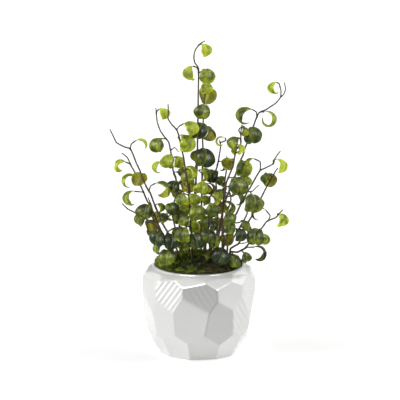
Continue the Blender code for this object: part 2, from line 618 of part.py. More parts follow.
def arrange():
    """Every stem's tubes and leaves, each leaf moved a little until it is clear of what is placed before it."""
    draw = random.Random(DRAW_SEED)
    placed, stems, crowded = Placed(), [], []
    for stem in STEMS:
        lines = stem_lines(stem)
        tubes = [tube(points, start, end, STEM_SIDES) for points, start, end in lines]
        first = len(placed.trees)
        for verts, faces in tubes:
            placed.add(verts, faces)
        stems.append({"lines": lines, "tubes": tubes, "own": range(first, len(placed.trees)), "leaves": []})
    waiting = [(number, leaf) for number, stem in enumerate(STEMS) for leaf in stem["leaves"]]
    waiting += [(number, leaf) for number, stem in enumerate(STEMS) for leaf in stem.get("late", [])]
    for number, leaf in waiting:
        made = stems[number]
        lean, start = math.radians(draw.uniform(-18, 18)), math.radians(draw.uniform(115, 150))
        best = None
        for depth, turned, up in leaf_moves():
            tried = (*leaf[:2], leaf[2] + turned, *leaf[3:])
            centre = leaf_centre(tried, made["lines"], depth, up)
            verts, faces = leaf_solid(centre, tried, made["lines"], lean, start)
            if not clears_pot(verts[4:]):
                continue
            wide = swollen(verts, faces, LEAF_CLEARANCE)
            if placed.touches(wide, faces, made["own"]):
                continue
            blade = [f for f in faces if min(f) >= 4 + SIDES_OF_BLADE]
            if any(placed.trees[i].overlap(tree_of(wide, blade)) for i in made["own"]):
                continue
            best = verts, faces
            break
        if best is None:
            crowded.append((number + 1, leaf))
            continue
        placed.add(*best)
        made["leaves"].append(best)
    return stems, crowded


def leaf_centre(leaf, lines, depth, up):
    """Where a leaf's curl has its middle: as deep as its stem there, and out along its bearing."""
    across, height, heading, size = leaf[:4]
    beside = nearest_on([lines[0]], seen(across, height, float(np.mean([p[1] for p in lines[0][0]]))))
    reach = size * 0.6 + 4
    place = float(beside[1]) - math.cos(math.radians(heading)) * reach + depth
    return seen(across, height + up, place)


def make_stem(number, made):
    """One leafy stem, its leaves joined to it."""
    name = f"stem_{number:02d}"
    green = material(name, (0.13, 0.2, 0.05), 0.4)
    stem = object_from(name, *made["tubes"][0], green)
    leaves = bpy.data.collections.new(f"{name}_leaves")
    bpy.context.scene.collection.children.link(leaves)
    for verts, faces in made["tubes"][1:] + made["leaves"]:
        piece = object_from(f"{name}_piece", verts, faces, green)
        bpy.context.collection.objects.unlink(piece)
        leaves.objects.link(piece)
    if len(leaves.objects):
        apply_boolean(stem, leaves, "UNION")
    else:
        bpy.data.collections.remove(leaves)
    return stem


def main():
    for old in list(bpy.data.objects):
        bpy.data.objects.remove(old)
    make_pot()
    soil, moss = make_soil(), make_moss()
    cut_root_holes(soil, ROOT_DEPTH - GAP, SOIL_TOP + 5)
    cut_root_holes(moss, SOIL_TOP - 5, ROOT_TOP + 5)
    stems, crowded = arrange()
    for number, made in enumerate(stems, 1):
        make_stem(number, made)
    for number, leaf in crowded:
        print("no room for a leaf of stem", number, leaf)


main()
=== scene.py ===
"""The looks of the potted weeping fig: glazed pot, moss, bark and curled leaves, round its CAD frame."""
import math
import random

import bpy
import numpy as np
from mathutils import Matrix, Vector
from mathutils.kdtree import KDTree


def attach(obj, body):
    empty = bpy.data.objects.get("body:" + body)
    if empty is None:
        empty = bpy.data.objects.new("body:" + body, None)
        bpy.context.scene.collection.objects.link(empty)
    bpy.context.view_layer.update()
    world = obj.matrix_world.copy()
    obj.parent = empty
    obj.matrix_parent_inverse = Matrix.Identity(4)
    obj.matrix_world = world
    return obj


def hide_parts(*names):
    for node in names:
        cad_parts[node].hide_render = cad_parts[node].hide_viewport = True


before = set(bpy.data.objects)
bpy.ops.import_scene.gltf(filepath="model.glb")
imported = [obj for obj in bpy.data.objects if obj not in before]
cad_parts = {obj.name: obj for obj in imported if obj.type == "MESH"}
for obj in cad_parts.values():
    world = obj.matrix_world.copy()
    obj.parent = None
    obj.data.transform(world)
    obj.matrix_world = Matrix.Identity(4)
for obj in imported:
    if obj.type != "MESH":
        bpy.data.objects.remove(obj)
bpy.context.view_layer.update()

scene = bpy.context.scene
scene.view_settings.view_transform = "Standard"

# Camera, in metres: the photo's height of view, from far off as with a long lens
VIEW_TILT = math.radians(12)
CAMERA_DISTANCE = 3.0
PICTURE_WIDTH = 0.6
PICTURE_MIDDLE = (0.0021, 0.228)
SENSOR = 36.0
FARTHEST_SEEN = 60.0

# Floor: in metres its half width, how far in front of the pot it stays white and where it has turned
# grey, then its colours and how much it glows
FLOOR_REACH = 14.0
FLOOR_WHITE_TO = 0.37
FLOOR_GREY_FROM = 1.3
FLOOR_WHITE = (0.95, 0.95, 0.95)
FLOOR_GREY = (0.4, 0.4, 0.4)
FLOOR_GLOW = 0.22

# Light, as soft lobes: the bearing and angle above level that they come from, tightness, strength
LIGHTS = [(-90, 8, 40, 4.1), (-75, 8, 40, 3.5), (-64, 4, 120, 3.6), (68, 4, 120, 3.0), (-105, 34, 30, 1.0),
          (-90, 34, 30, 2.2), (-75, 34, 30, 2.3), (90, 34, 30, 3.2), (105, 34, 30, 3.4), (150, 34, 30, 3.4),
          (-75, 60, 20, 0.7), (-60, 60, 20, 0.7), (60, 60, 20, 0.9), (75, 60, 20, 1.2), (180, 72, 14, 0.8)]

# Sparkle, soft boxes that only glossy surfaces show: bearing, angle above level, then in metres the
# distance from the plant's middle, width and height, then power
SPARKLES = [(-30, 34, 2.0, 1.2, 0.7, 165.0), (45, 32, 2.0, 0.7, 0.6, 45.0)]
PLANT_MIDDLE = 0.25

# The object's own sizes, from here on, are in millimetres and degrees
MM = 0.001

# Pot, as in the CAD
POT_HEIGHT = 134.6
RIM_RADIUS = 67.5
RIM_CHAMFER = 1.0
CHAMFER_STEEPNESS = 1.6
SHOULDER_START = (88.5, 122.5)
FACETS_PER_ROW = 11
FLUTE_DEPTH = 0.8

# The front facets of each row: bearing, middle height, distance from the axis there, lean above level
LOWER_ROW = [(-59, 24, 71.0, -30), (-27, 22, 69.2, -31), (6.5, 24, 68.8, -31), (40, 22, 69.4, -31)]
MIDDLE_ROW = [(-38.6, 62, 82.0, -7.6), (-8.4, 66, 80.6, -7.3), (22, 66, 82.3, -12), (53.6, 64, 82.0, -7.8)]
UPPER_ROW = [(-64, 100, 83.0, 1), (-32, 104, 83.1, 6.7), (-1.7, 98, 83.5, 4.7), (34, 106, 85.1, 6.7),
             (67, 104, 83.0, 0)]
SHOULDER_ROW = [(-58, 126, 77.4, 38), (-38.6, 126.5, 78.3, 38), (-9.9, 127, 75.9, 38),
                (22.3, 126.5, 77.6, 38), (49.7, 127, 78.0, 38)]

# Each row from the foot up, and the middle height, distance and lean of its facets round the back
ROWS = [(LOWER_ROW, (23, 69.9, -30.5)), (MIDDLE_ROW, (64.5, 79.9, -10)), (UPPER_ROW, (102.4, 82.3, 1.4)),
        (SHOULDER_ROW, (126.6, 77.9, 38))]

# Fluted facets, by bearing and middle height: the flutes' slope, pitch, shift and part of the full depth
FLUTED = {(-32, 104): (54, 7.3, -13, 1.0), (-1.7, 98): (-58, 8.2, 157, 0.28),
          (53.6, 64): (-46, 9.8, -90, 0.8), (-38.6, 62): (38, 8.8, 57, 0.25),
          (-8.4, 66): (16, 10.7, -28, 0.2), (67, 104): (-54, 10.5, -80, 0.25)}

# Painted light and shade on the glaze: how much lighter or darker it is painted on some facets, by bearing
# and middle height, on a row's facets round the back, by middle height, and at the rim
FACET_PAINTED_SHADING = {(-32, 104): 0.13, (-1.7, 98): -0.21, (34, 106): 0.14, (-8.4, 66): 0.01, (22, 66): -0.18,
               (53.6, 64): 0.02, (-27, 22): 0.03, (6.5, 24): -0.12, (-59, 24): -0.06, (-64, 100): -0.11,
               (-9.9, 127): 0.16, (22.3, 126.5): 0.12, (49.7, 127): 0.32, (-38.6, 126.5): -0.2,
               (-58, 126): 0.3}
BACK_PAINTED_LIGHT = {126.6: 0.4}
RIM_PAINTED_LIGHT = 0.24

# Pairs of facets whose shared edge is darker
DARK_EDGES = [((-8.4, 66), (22, 66)), ((-1.7, 98), (22, 66)), ((-1.7, 98), (34, 106))]
DARK_EDGE_TONE = -0.9

# The pot's inside, as radius and height, from its floor to the mouth
HOLLOW = [(0, 8), (46, 8), (57, 17), (66, 38), (72.5, 66), (74, 96), (69, 116), (64, 127), (64, 134.6)]

# The shell's skin: how softly facets meet, its columns and rows, the rings under the pot as parts of the
# foot's radius, the foot's rounding as inset and height, and the lip's rounding
EDGE_SOFTNESS = 0.3
POT_COLUMNS = 600
POT_ROWS = 118
BASE_RINGS = (0.5, 0.85, 0.95)
FOOT_ROUNDING = [(0.9, 0.05), (0.3, 0.45)]
FOOT_TOP = 1.2
LIP_DROP = 1.9
LIP_RISE = 1.8
LIP_STEPS = 10

# Moss: its edge, its heights there and in the middle, its lumps, and the heap at the left
MOSS_EDGE = 66.6
MOSS_EDGE_TOP = 137.5
MOSS_MIDDLE_TOP = 151.0
MOSS_LUMP = 1.8
MOSS_HEAP = 4.0
HEAP_MIDDLE = (-46, -12)
HEAP_SPREAD = (18, 30)

# The bed that the strands grow from: the plug in the mouth, and how deep under the moss's surface it lies
BED_RADIUS = 63.0
BED_FLOOR = 126.0
BED_LEDGE = 135.2
BED_DEPTH = 1.6
BED_SPOKES = 160
BED_RINGS = 44

# Strands: how many clumps and strands, the part that crowds to the rim and how far out, the limits of their
# shapes, their widths from root to tip, how deep they start, and the dry part of those at the front right
MOSS_SEED = 11
MOSS_CLUMPS = 330
MOSS_STRANDS = 4200
RIM_PART = 0.35
RIM_BAND = (0.88, 0.985)
STRAND_LENGTH = (3.0, 7.5)
STRAND_CURL = (0.5, 3.4)
STRAND_PITCH = (0.9, 1.5)
STRAND_WIDTH = (0.45, 1.0)
STRAND_TAPER = (0.7, 1.0, 1.0, 0.9, 0.6, 0.15)
STRAND_DEPTH = 2.8
DRY_PART = 0.4

# Stems, as in the CAD
ROOT_RADIUS = 1.6
TIP_RADIUS = 0.75
TWIG_START = 0.6
ROOT_DEPTH = 112.0
ROOT_TOP = 156.0
DEPTH_SPREAD = 1.35

# Bark: sides, length of a step, taper, swollen nodes, how far from the tip it is green, how green a twig is
STEM_SIDES = 10
STEM_STEP = 1.8
STEM_TAPER = 0.45
TIP_POINT = 0.4
NODE_SWELLING = 0.32
NODE_REACH = 1.8
GREEN_LENGTH = 90.0
TWIG_GREEN = 0.6

# Leaves, as in the CAD: the stalk's rise, the curl's reach, turn, size and closing, the limits of the
# draws, and the coarse blade's stations, widths and section
STALK_RISE = 7.0
STALK_REACH = 4.0
CURL_REACH = 0.6
USUAL_TURN = 255
CURL_SCALE = 1.08
CURL_CLOSING = 0.42
DRAW_SEED = 7
LEAN_LIMITS = (-18, 18)
START_LIMITS = (115, 150)
BLADE_STATIONS = [0.14, 0.37, 0.61, 0.84]
BLADE_WIDTHS = [0.7, 0.98, 0.95, 0.58]
BLADE_SECTION = [(-0.94, 0.62), (-0.5, 1.0), (0.5, 1.0), (0.94, 0.62)]

# The moves that the CAD tries for a leaf that would cross another: in depth, in bearing and up
DEPTH_TRIES = range(-30, 31, 3)
TURN_TRIES = range(-40, 41, 20)
RISE_TRIES = (0, 4, 8)

# A leaf is found in the CAD where this part of its corners lies this near to the node's own
FOUND_PART = 0.6
FOUND_WITHIN = 0.02

# Blades: rows and columns, thickness, how tightly they fit the CAD's curl, the seed of their looks, how far
# a tone may stray, and the limits between which each one draws its own shape
LEAF_ROWS = 25
LEAF_COLUMNS = 15
BLADE_THICKNESS = 0.55
BLADE_FIT = 0.985
LOOKS_SEED = 21
AGE_SPREAD = 0.05
BLADE_LIMITS = {"phase": (0, 6.28), "wavy rim": (0.03, 0.09), "wider half": (-0.16, 0.16),
                "crease": (0.14, 0.36), "twist": (-0.5, 0.5), "drift": (-0.24, 0.24), "swell": (-0.07, 0.07),
                "fullness": (0.72, 1.15), "widest": (0.78, 1.0), "ruffle": (0.03, 0.1), "folds": (5.0, 9.0)}

# Leaf stalks: sides, length of a step, and the radius and greenness at parts of their length
STALK_SIDES = 8
STALK_STEP = 1.5
STALK_RADII = ([0, 0.12, 0.5, 0.85, 1], [1.35, 0.95, 1.0, 1.15, 0.5])
STALK_GREEN = ([0, 0.3, 1], [0.3, 0.7, 1.0])

# The stems, as in the CAD. A route and a twig are points of the front view: across, up, and the depth behind
# the axis. A leaf is its middle across and up, its bearing, its size and, where it isn't usual, how far it
# curls round. Its tone goes from 0, young and light, to 1, old and dark. Late leaves come after all others.
STEMS = [
    {"route": [(10, 463, 0), (3.5, 459.5, 0), (-1, 455, 0), (-4.5, 450, 0), (-6.5, 444, 0), (-7, 438, 0),
               (-5.5, 431, 0), (-0.5, 424, 0), (0, 414, 0), (-0.5, 385, 0), (-1.5, 318, 0),
               (-2.5, 273, 1), (-4, 258, 1), (-5, 190, 3)],
     "root": (-5.5, 4),
     "leaves": [(8, 446.7, 45, 21, 200), (-11.3, 414.2, -45, 23, 240), (12, 408.7, 20, 24.5),
                (6, 356.5, 0, 24.5), (2, 328.5, -10, 28), (7.5, 289, 15, 31), (-1.5, 294, -100, 20),
                (5, 245.5, 0, 21), (8, 226, 40, 17)],
     "tones": [0.05, 0.25, 0.45, 0.5, 0.9, 0.75, 0.9, 0.1, 0.45]},
    {"route": [(11, 396, 20), (9.5, 382, 20), (8, 370, 19), (6, 318, 18), (6.5, 306, 17), (5, 250, 16),
               (4, 190, 14)],
     "root": (4, 14),
     "leaves": [(9, 385, 150, 30), (12.5, 327.5, 115, 24), (8, 265, 60, 20), (17, 244, 80, 19),
                (21.5, 225, 70, 20)],
     "late": [(10.5, 393, 0, 19)],
     "tones": [0.6, 0.85, 0.4, 0.7, 0.25, 0.3]},
    {"route": [(-64.5, 367, 32), (-62.5, 346, 31), (-58, 333, 29), (-52, 324, 27), (-45, 315, 25),
               (-43, 306, 24), (-41.5, 298, 23), (-38.5, 273, 20), (-34.5, 261, 19), (-32.5, 249, 18),
               (-31, 234, 17), (-29, 190, 14)],
     "root": (-28, 10),
     "twigs": [[(-42, 303, 24), (-36, 307, 22), (-30, 300, 20)]],
     "leaves": [(-54.7, 356.5, 40, 20, 200), (-60, 309.3, -20, 24), (-43.3, 285, -20, 23),
                (-32, 284, 40, 20), (-60.5, 276.5, -70, 20), (-36, 246.5, -20, 21), (-29.5, 261, 80, 21)],
     "tones": [-0.1, 0.5, 0.2, 0.15, 0.15, 0.75, 0.7]},
    {"route": [(-45, 370, -18), (-44.5, 358, -18), (-45, 348, -18), (-40, 340, -17), (-32.5, 332, -16),
               (-29.5, 324, -16), (-27, 313, -15), (-25, 303, -15), (-22.5, 292, -15), (-20.5, 279, -14),
               (-17.5, 258, -14), (-15, 243, -13), (-11, 190, -12)],
     "root": (-9, -12),
     "leaves": [(-13.7, 330.5, 65, 25), (-22.5, 310.5, 45, 29), (-13.5, 267, 85, 24), (-8.5, 228, 40, 20),
                (-23.5, 228, -30, 20), (-4, 208, 10, 26), (-10, 188, 30, 20)],
     "tones": [0.25, 0.25, 0.25, 0.3, 0.3, 0.5, 0.1]},
    {"route": [(-131.5, 333, -14), (-127, 324, -14), (-121.5, 313, -14), (-110.5, 307, -14),
               (-101.5, 304, -13), (-97, 295, -13), (-92.5, 283, -13), (-86.5, 270, -13),
               (-82.5, 258, -12), (-77.5, 247, -12), (-71.5, 237, -12), (-65.5, 220, -11),
               (-61, 210, -11), (-53.5, 192, -10), (-42, 172, -9)],
     "root": (-32, -8),
     "leaves": [(-85.5, 309, 90, 21, 190), (-87.3, 257.5, 180, 24), (-55.3, 242.3, 95, 27),
                (-57.5, 216, 60, 15), (-53, 200.5, 50, 16), (-40.5, 213.5, 15, 21), (-31.5, 201, 30, 24)],
     "tones": [0.2, 0.4, 0.4, 0.45, 0.6, 0.7, 0.55]},
    {"route": [(-116.5, 299, 22), (-112, 296, 22), (-107.5, 292, 22), (-104.5, 286, 21),
               (-101.5, 279, 21), (-97, 271, 20), (-93, 262, 20), (-85, 244, 18), (-77.5, 226, 17),
               (-73, 220, 16), (-58, 184, 12), (-47, 166, 9)],
     "root": (-39, 6),
     "leaves": [(-118, 278.5, -85, 21), (-105, 255.5, -85, 25), (-102, 229.5, -65, 25),
                (-78.3, 208.5, -10, 26.5), (-86, 197, -50, 22), (-75, 186, 150, 23)],
     "tones": [0.1, 0.4, 0.45, 0.65, 0.5, 1.05]},
    {"route": [(-113, 223, -38), (-104, 214.5, -38), (-91, 208, -37), (-65.5, 192, -34), (-58, 183, -32),
               (-47, 164, -27)],
     "root": (-40, -22),
     "leaves": [(-60.2, 169.5, -20, 25), (-59.5, 154.5, -60, 17), (-40.2, 166, 10, 27),
                (-31, 180, 60, 17), (-47.3, 142.5, -20, 27)],
     "tones": [0.95, 0.55, 1, 0.8, 0.6]},
    {"route": [(31.5, 319, 28), (33.5, 310, 28), (32, 300, 28), (30, 288, 27), (27.5, 277, 26),
               (25.5, 271, 26), (27.5, 238, 24), (29, 223, 22), (28, 180, 18)],
     "root": (26, 16),
     "leaves": [(32.5, 316, -90, 17, 290), (36, 279, 60, 17), (21.7, 262.5, -30, 23)],
     "late": [(34.5, 255, -30, 17)],
     "tones": [0.15, 0.6, 1, 0.7]},
    {"route": [(120.5, 399, 8), (122.5, 391, 8), (122, 381, 8), (114.5, 372, 8), (107, 367, 8),
               (101, 363, 8), (90, 358, 7), (87, 352, 7), (84.5, 346, 7), (81.5, 337, 6), (72.5, 313, 6),
               (69.5, 306, 5), (66.5, 295, 5), (63.5, 289, 5), (59, 276, 4), (38, 220, 2), (31, 180, 1)],
     "root": (29, 0),
     "twigs": [[(122, 381, 8), (126.5, 385, 8), (129.5, 393, 8), (127.5, 403, 8)]],
     "leaves": [(112.5, 392.5, -60, 20), (104, 347.5, 80, 27, 330), (70, 352.7, -85, 29),
                (79.5, 322.8, 10, 28), (65.5, 273, 30, 28), (69, 256, 20, 16)],
     "tones": [0.25, 0.4, 0.55, 0.65, 0.5, 0.35]},
    {"route": [(63.5, 339, -30), (62, 325, -30), (62, 310, -29), (56, 303, -28), (53, 291, -28),
               (51.5, 280, -27), (45.5, 265, -26), (41, 253, -25), (38, 235, -23), (35, 205, -19),
               (30, 175, -16)],
     "root": (27, -14),
     "leaves": [(65.5, 329, 120, 16), (53.3, 310.3, -40, 21), (60.8, 302, 30, 15),
                (54.5, 299.5, -120, 14), (44.5, 280, -150, 21), (57, 248, 10, 29), (59, 228, 60, 19),
                (44, 216, 80, 22)],
     "tones": [0.65, 0.65, -0.1, 0.4, 0.35, 0.7, 0.7, 0.55]},
    {"route": [(121.5, 301, -16), (116, 294, -16), (112.5, 288, -16), (111, 282, -16), (98, 275, -16),
               (91.5, 272, -16), (83, 258, -16), (77, 247, -17), (72.5, 240, -17), (68, 231, -18),
               (60.5, 217, -19), (56, 207, -20), (39.5, 183, -22), (30, 168, -24)],
     "root": (21, -26),
     "twigs": [[(72.5, 240, -17), (80, 241, -17), (86, 247, -17), (90.5, 251, -17)]],
     "leaves": [(118.3, 277.7, 65, 23, 220), (77.5, 281, -90, 18, 190), (78.5, 221.5, 20, 30),
                (88, 222, 60, 19), (66.5, 189, 45, 18)],
     "tones": [0, 0.3, 0.5, 0.75, 0.55]},
    {"route": [(120.5, 277, 26), (116, 271, 26), (113, 265, 25), (107, 255, 24), (101, 244, 23),
               (96.5, 235, 22), (81.5, 205, 18), (75.5, 195, 16), (69.5, 181, 14), (60.5, 162, 9)],
     "root": (48, 6),
     "twigs": [[(60.5, 162, 9), (70, 163, 9), (77, 166, 9)]],
     "leaves": [(104.5, 258, 160, 24), (102, 254.5, -40, 17)],
     "tones": [0.7, 0.55]},
    {"route": [(125, 214, -28), (119, 207, -28), (114.5, 202, -28), (107, 199, -28), (101, 196, -28),
               (96.5, 190, -28), (93.5, 186, -27), (77, 166, -24), (69.5, 156, -21), (58, 150, -18)],
     "root": (48, -15),
     "leaves": [(122.3, 197.5, 40, 21), (89, 207, -90, 24), (86, 172, -20, 28), (96, 169, 60, 18),
                (90.3, 147, 90, 25), (70, 141.5, 20, 17)],
     "tones": [0.2, 0.75, 0.55, 0.35, 0.8, 0.6]},
    {"route": [(42.5, 295, 36), (44, 285, 36), (41, 265, 35), (38, 235, 32), (36, 190, 27)],
     "root": (36, 22),
     "leaves": [(48, 240, 100, 20), (30, 215, 170, 22)],
     "tones": [0.6, 0.9]},
    {"route": [(-14, 214, -34), (-12, 196, -33), (-11, 178, -31), (-10, 165, -29)],
     "root": (-10, -26),
     "leaves": [(-20.5, 175, -20, 24), (-28, 163, -90, 13), (-4, 166, 10, 28), (-19, 196, -40, 19)],
     "tones": [0.55, 0.45, 0.7, 0.6]},
    {"route": [(15, 206, -37), (15, 190, -36), (13, 175, -33)],
     "root": (9, -30),
     "leaves": [(12.5, 174, 20, 24), (23, 165, 70, 20), (20, 189, 40, 17), (10, 142, 80, 14)],
     "tones": [0.8, 0.35, 1.05, 0.5]},
    {"route": [(46, 212, -42), (47, 196, -41), (45, 180, -40), (40, 166, -36)],
     "root": (33, -30),
     "leaves": [(45.5, 199, 10, 19), (47, 186, -20, 21), (41, 167, 170, 21), (59, 175, 40, 21),
                (31.7, 144, 10, 27), (51, 135.5, 20, 20)],
     "tones": [0.65, 0.55, 0.7, 1, 0.95, 0.65]},
    {"route": [(-30, 258, 74), (-33, 240, 70), (-38, 225, 66), (-40, 203, 56), (-34, 178, 44)],
     "root": (-26, 34),
     "leaves": [(-22, 250, 150, 22), (-30, 236, -140, 20), (-30, 216, 120, 22), (-42, 203, -100, 20),
                (-30, 176, 170, 22)],
     "tones": [0.7, 0.7, 0.8, 0.4, 0.9]},
    {"route": [(-8, 300, 62), (-4, 284, 60), (-8, 262, 56), (-5, 230, 50), (-4, 180, 42)],
     "root": (-4, 36),
     "leaves": [(4, 292, 160, 20), (-20, 268, -150, 22), (8, 244, 130, 22), (-16, 214, -140, 21),
                (4, 184, 150, 22)],
     "tones": [0.3, 0.6, 0.8, 0.65, 0.9]},
    {"route": [(52, 262, 80), (47, 246, 76), (50, 228, 70), (40, 200, 58), (28, 176, 46)],
     "root": (20, 36),
     "leaves": [(62, 250, 130, 20), (38, 236, -150, 22), (47, 216, 110, 20), (30, 190, 180, 22),
                (44, 176, 100, 20)],
     "tones": [0.2, 0.6, 0.5, 0.8, 0.8]},
    {"route": [(82, 236, 54), (76, 222, 52), (74, 206, 48), (62, 184, 40), (52, 168, 32)],
     "root": (44, 24),
     "leaves": [(88, 222, 120, 20), (84, 174, 170, 21), (72, 180, 100, 20)],
     "tones": [0.3, 0.6, 0.7]},
    {"route": [(-78, 232, 52), (-72, 218, 50), (-72, 204, 46), (-62, 184, 40), (-52, 168, 32)],
     "root": (-42, 24),
     "leaves": [(-84, 211, -130, 18), (-62, 200, 170, 21), (-70, 180, -110, 20)],
     "tones": [0.4, 0.55, 0.8]},
    {"route": [(17, 234, -20), (16, 215, -22), (14, 190, -24), (12, 172, -22)],
     "root": (8, -19),
     "leaves": [(17, 213, 20, 22), (15, 195, -30, 21), (27, 230, 70, 18), (15, 161, 25, 21)],
     "tones": [0.7, 0.4, 0.35, 0.6]},
    {"route": [(-15, 276, 6), (-14, 252, 5), (-12, 220, 3), (-10, 185, 2)],
     "root": (-14, 1),
     "leaves": [(-12, 262, -20, 22), (-15, 246, 130, 20), (-18, 205, -60, 22), (-19, 161, -20, 22)],
     "tones": [0.3, 0.6, 0.45, 0.5]},
]

# Shading

# The sockets of a Mix node that mixes colours
MIX_FACTOR, MIX_FIRST, MIX_SECOND, MIX_RESULT = 0, 6, 7, 2


class Graph:
    """The nodes of a material or a world, which feed its shader."""

    def __init__(self, owner, shader="Principled BSDF"):
        owner.use_nodes = True
        self.owner, self.tree = owner, owner.node_tree
        self.shader = self.tree.nodes[shader]

    def feed(self, socket, value):
        """Links a socket to another node's output, or sets it to a value."""
        if isinstance(value, bpy.types.NodeSocket):
            self.tree.links.new(value, socket)
        else:
            socket.default_value = value

    def node(self, kind, inputs=None, **settings):
        made = self.tree.nodes.new(kind)
        for key, value in settings.items():
            setattr(made, key, value)
        for key, value in (inputs or {}).items():
            self.feed(made.inputs[key], value)
        return made

    def set(self, **values):
        """Feeds the shader's own sockets."""
        for key, value in values.items():
            self.feed(self.shader.inputs[key.replace("_", " ")], value)

    def attribute(self, name):
        return self.node("ShaderNodeAttribute", attribute_name=name).outputs["Fac"]

    def place(self):
        return self.node("ShaderNodeTexCoord").outputs["Object"]

    def noise(self, scale, detail=2.0, roughness=0.5):
        inputs = {"Scale": scale, "Detail": detail, "Roughness": roughness, "Vector": self.place()}
        return self.node("ShaderNodeTexNoise", inputs).outputs["Fac"]

    def math(self, operation, first, second=0.0):
        return self.node("ShaderNodeMath", {0: first, 1: second}, operation=operation).outputs[0]

    def ramp(self, factor, stops):
        """A colour by a factor, from stops of place and colour."""
        made = self.node("ShaderNodeValToRGB", {"Fac": factor})
        elements = made.color_ramp.elements
        for _ in stops[2:]:
            elements.new(0.5)
        for element, (place, colour) in zip(elements, stops):
            element.position = place
            element.color = (*colour, 1.0)
        return made.outputs["Color"]

    def mix(self, factor, first, second, blend="MIX"):
        made = self.node("ShaderNodeMix", {MIX_FACTOR: factor}, data_type="RGBA", blend_type=blend)
        for index, colour in ((MIX_FIRST, first), (MIX_SECOND, second)):
            self.feed(made.inputs[index], (*colour, 1.0) if isinstance(colour, tuple) else colour)
        return made.outputs[MIX_RESULT]

    def span(self, value, low, high, to_low=0.0, to_high=1.0):
        """A value between low and high, as its place between two other ends."""
        inputs = {"Value": value, "From Min": low, "From Max": high, "To Min": to_low, "To Max": to_high}
        return self.node("ShaderNodeMapRange", inputs).outputs["Result"]

    def bump(self, height, strength, distance):
        made = self.node("ShaderNodeBump", {"Height": height, "Strength": strength, "Distance": distance})
        self.set(Normal=made.outputs["Normal"])


def material_graph(name):
    return Graph(bpy.data.materials.new(name))


def glaze_material():
    """White glaze: a faint unevenness in colour, gloss and surface, painted light and shade by facet and at
    the rim, and darker along some facet edges.
    """
    g = material_graph("white_glaze")
    broad = g.noise(14.0, 3.0)
    fine = g.noise(260.0, 2.0)
    white = g.ramp(broad, [(0.3, (0.69, 0.695, 0.685)), (0.7, (0.72, 0.715, 0.7))])
    # The tone mark is painted light and shade by facet and at the rim, and darker along some facet edges; it
    # scales the glaze's white
    tone = g.span(g.attribute("tone"), -0.4, 0.4)
    shade = g.ramp(tone, [(0.0, (0.6, 0.6, 0.6)), (1.0, (1.4, 1.4, 1.4))])
    g.set(Base_Color=g.mix(1.0, white, shade, "MULTIPLY"))
    g.set(Roughness=g.span(fine, 0.3, 0.7, 0.2, 0.28), IOR=1.5)
    g.set(Coat_Weight=0.5, Coat_Roughness=0.08)
    g.bump(g.math("ADD", g.math("MULTIPLY", broad, 3.0), fine), 0.06, 0.0006)
    return g.owner


def leaf_material():
    """Waxy leaf: tone by age, paler veins, a rim of own colour with painted light and shade, a yellower
    underside, light passing through.
    """
    g = material_graph("fig_leaf")
    tone, under = g.attribute("tone"), g.attribute("under")
    across, along = g.attribute("across"), g.attribute("along")
    mottle = g.noise(90.0, 3.0, 0.6)
    side = g.math("ABSOLUTE", across)
    rim = g.span(side, 0.55, 1.0)
    tip = g.span(along, 0.7, 1.0)
    aged = g.math("ADD", g.math("MULTIPLY", tone, 0.85), g.span(mottle, 0.3, 0.7, -0.32, 0.32))
    # The rim: lighter on young leaves, partly their own paler edge and partly painted light; darker on old
    # leaves, painted shade
    aged = g.math("ADD", aged, g.math("MULTIPLY", rim, g.span(tone, 0.1, 0.8, -0.3, 0.2)))
    aged = g.math("ADD", aged, g.math("MULTIPLY", tip, g.span(tone, 0.1, 0.8, -0.2, 0.1)))
    above = g.ramp(aged, [(0.0, (0.6, 0.69, 0.045)), (0.25, (0.31, 0.375, 0.018)),
                          (0.5, (0.108, 0.147, 0.009)), (0.75, (0.036, 0.06, 0.009)),
                          (1.0, (0.012, 0.023, 0.008))])
    below = g.ramp(aged, [(0.0, (0.68, 0.68, 0.04)), (0.4, (0.45, 0.44, 0.018)), (1.0, (0.17, 0.155, 0.006))])
    vein_place = g.math("SUBTRACT", g.math("MULTIPLY", along, 11.0), g.math("MULTIPLY", side, 2.6))
    vein = g.span(g.math("PINGPONG", vein_place, 0.5), 0.0, 0.09, 1.0, 0.0)
    midrib = g.span(side, 0.02, 0.09, 1.0, 0.0)
    lines = g.math("MAXIMUM", midrib, g.math("MULTIPLY", vein, 0.3))
    colour = g.mix(g.math("MULTIPLY", lines, 0.3), g.mix(under, above, below), (0.42, 0.5, 0.14))
    g.set(Base_Color=colour)
    g.set(Roughness=g.math("ADD", g.span(mottle, 0.3, 0.7, 0.36, 0.48), g.math("MULTIPLY", under, 0.25)))
    g.set(Subsurface_Weight=0.3, Subsurface_Radius=(0.8, 1.0, 0.15), Subsurface_Scale=0.001)
    g.set(Specular_IOR_Level=0.15)
    puckers = g.math("MULTIPLY", g.noise(200.0, 1.0), 2.4)
    g.bump(g.math("SUBTRACT", puckers, g.math("MULTIPLY", lines, 0.5)), 0.5, 0.0005)
    return g.owner


def bark_material():
    """Dull brown bark, greener where the twig is young."""
    g = material_graph("fig_bark")
    grain = g.noise(700.0, 4.0, 0.7)
    spots = g.noise(220.0, 2.0)
    old = g.ramp(grain, [(0.25, (0.05, 0.025, 0.013)), (0.75, (0.17, 0.095, 0.052))])
    fresh = g.ramp(grain, [(0.25, (0.03, 0.032, 0.006)), (0.75, (0.07, 0.075, 0.015))])
    colour = g.mix(g.attribute("young"), old, fresh)
    colour = g.mix(g.span(spots, 0.62, 0.7), colour, (0.15, 0.1, 0.07))
    g.set(Base_Color=colour, Roughness=g.span(grain, 0.2, 0.8, 0.6, 0.85), Specular_IOR_Level=0.2)
    g.bump(grain, 0.5, 0.0003)
    return g.owner


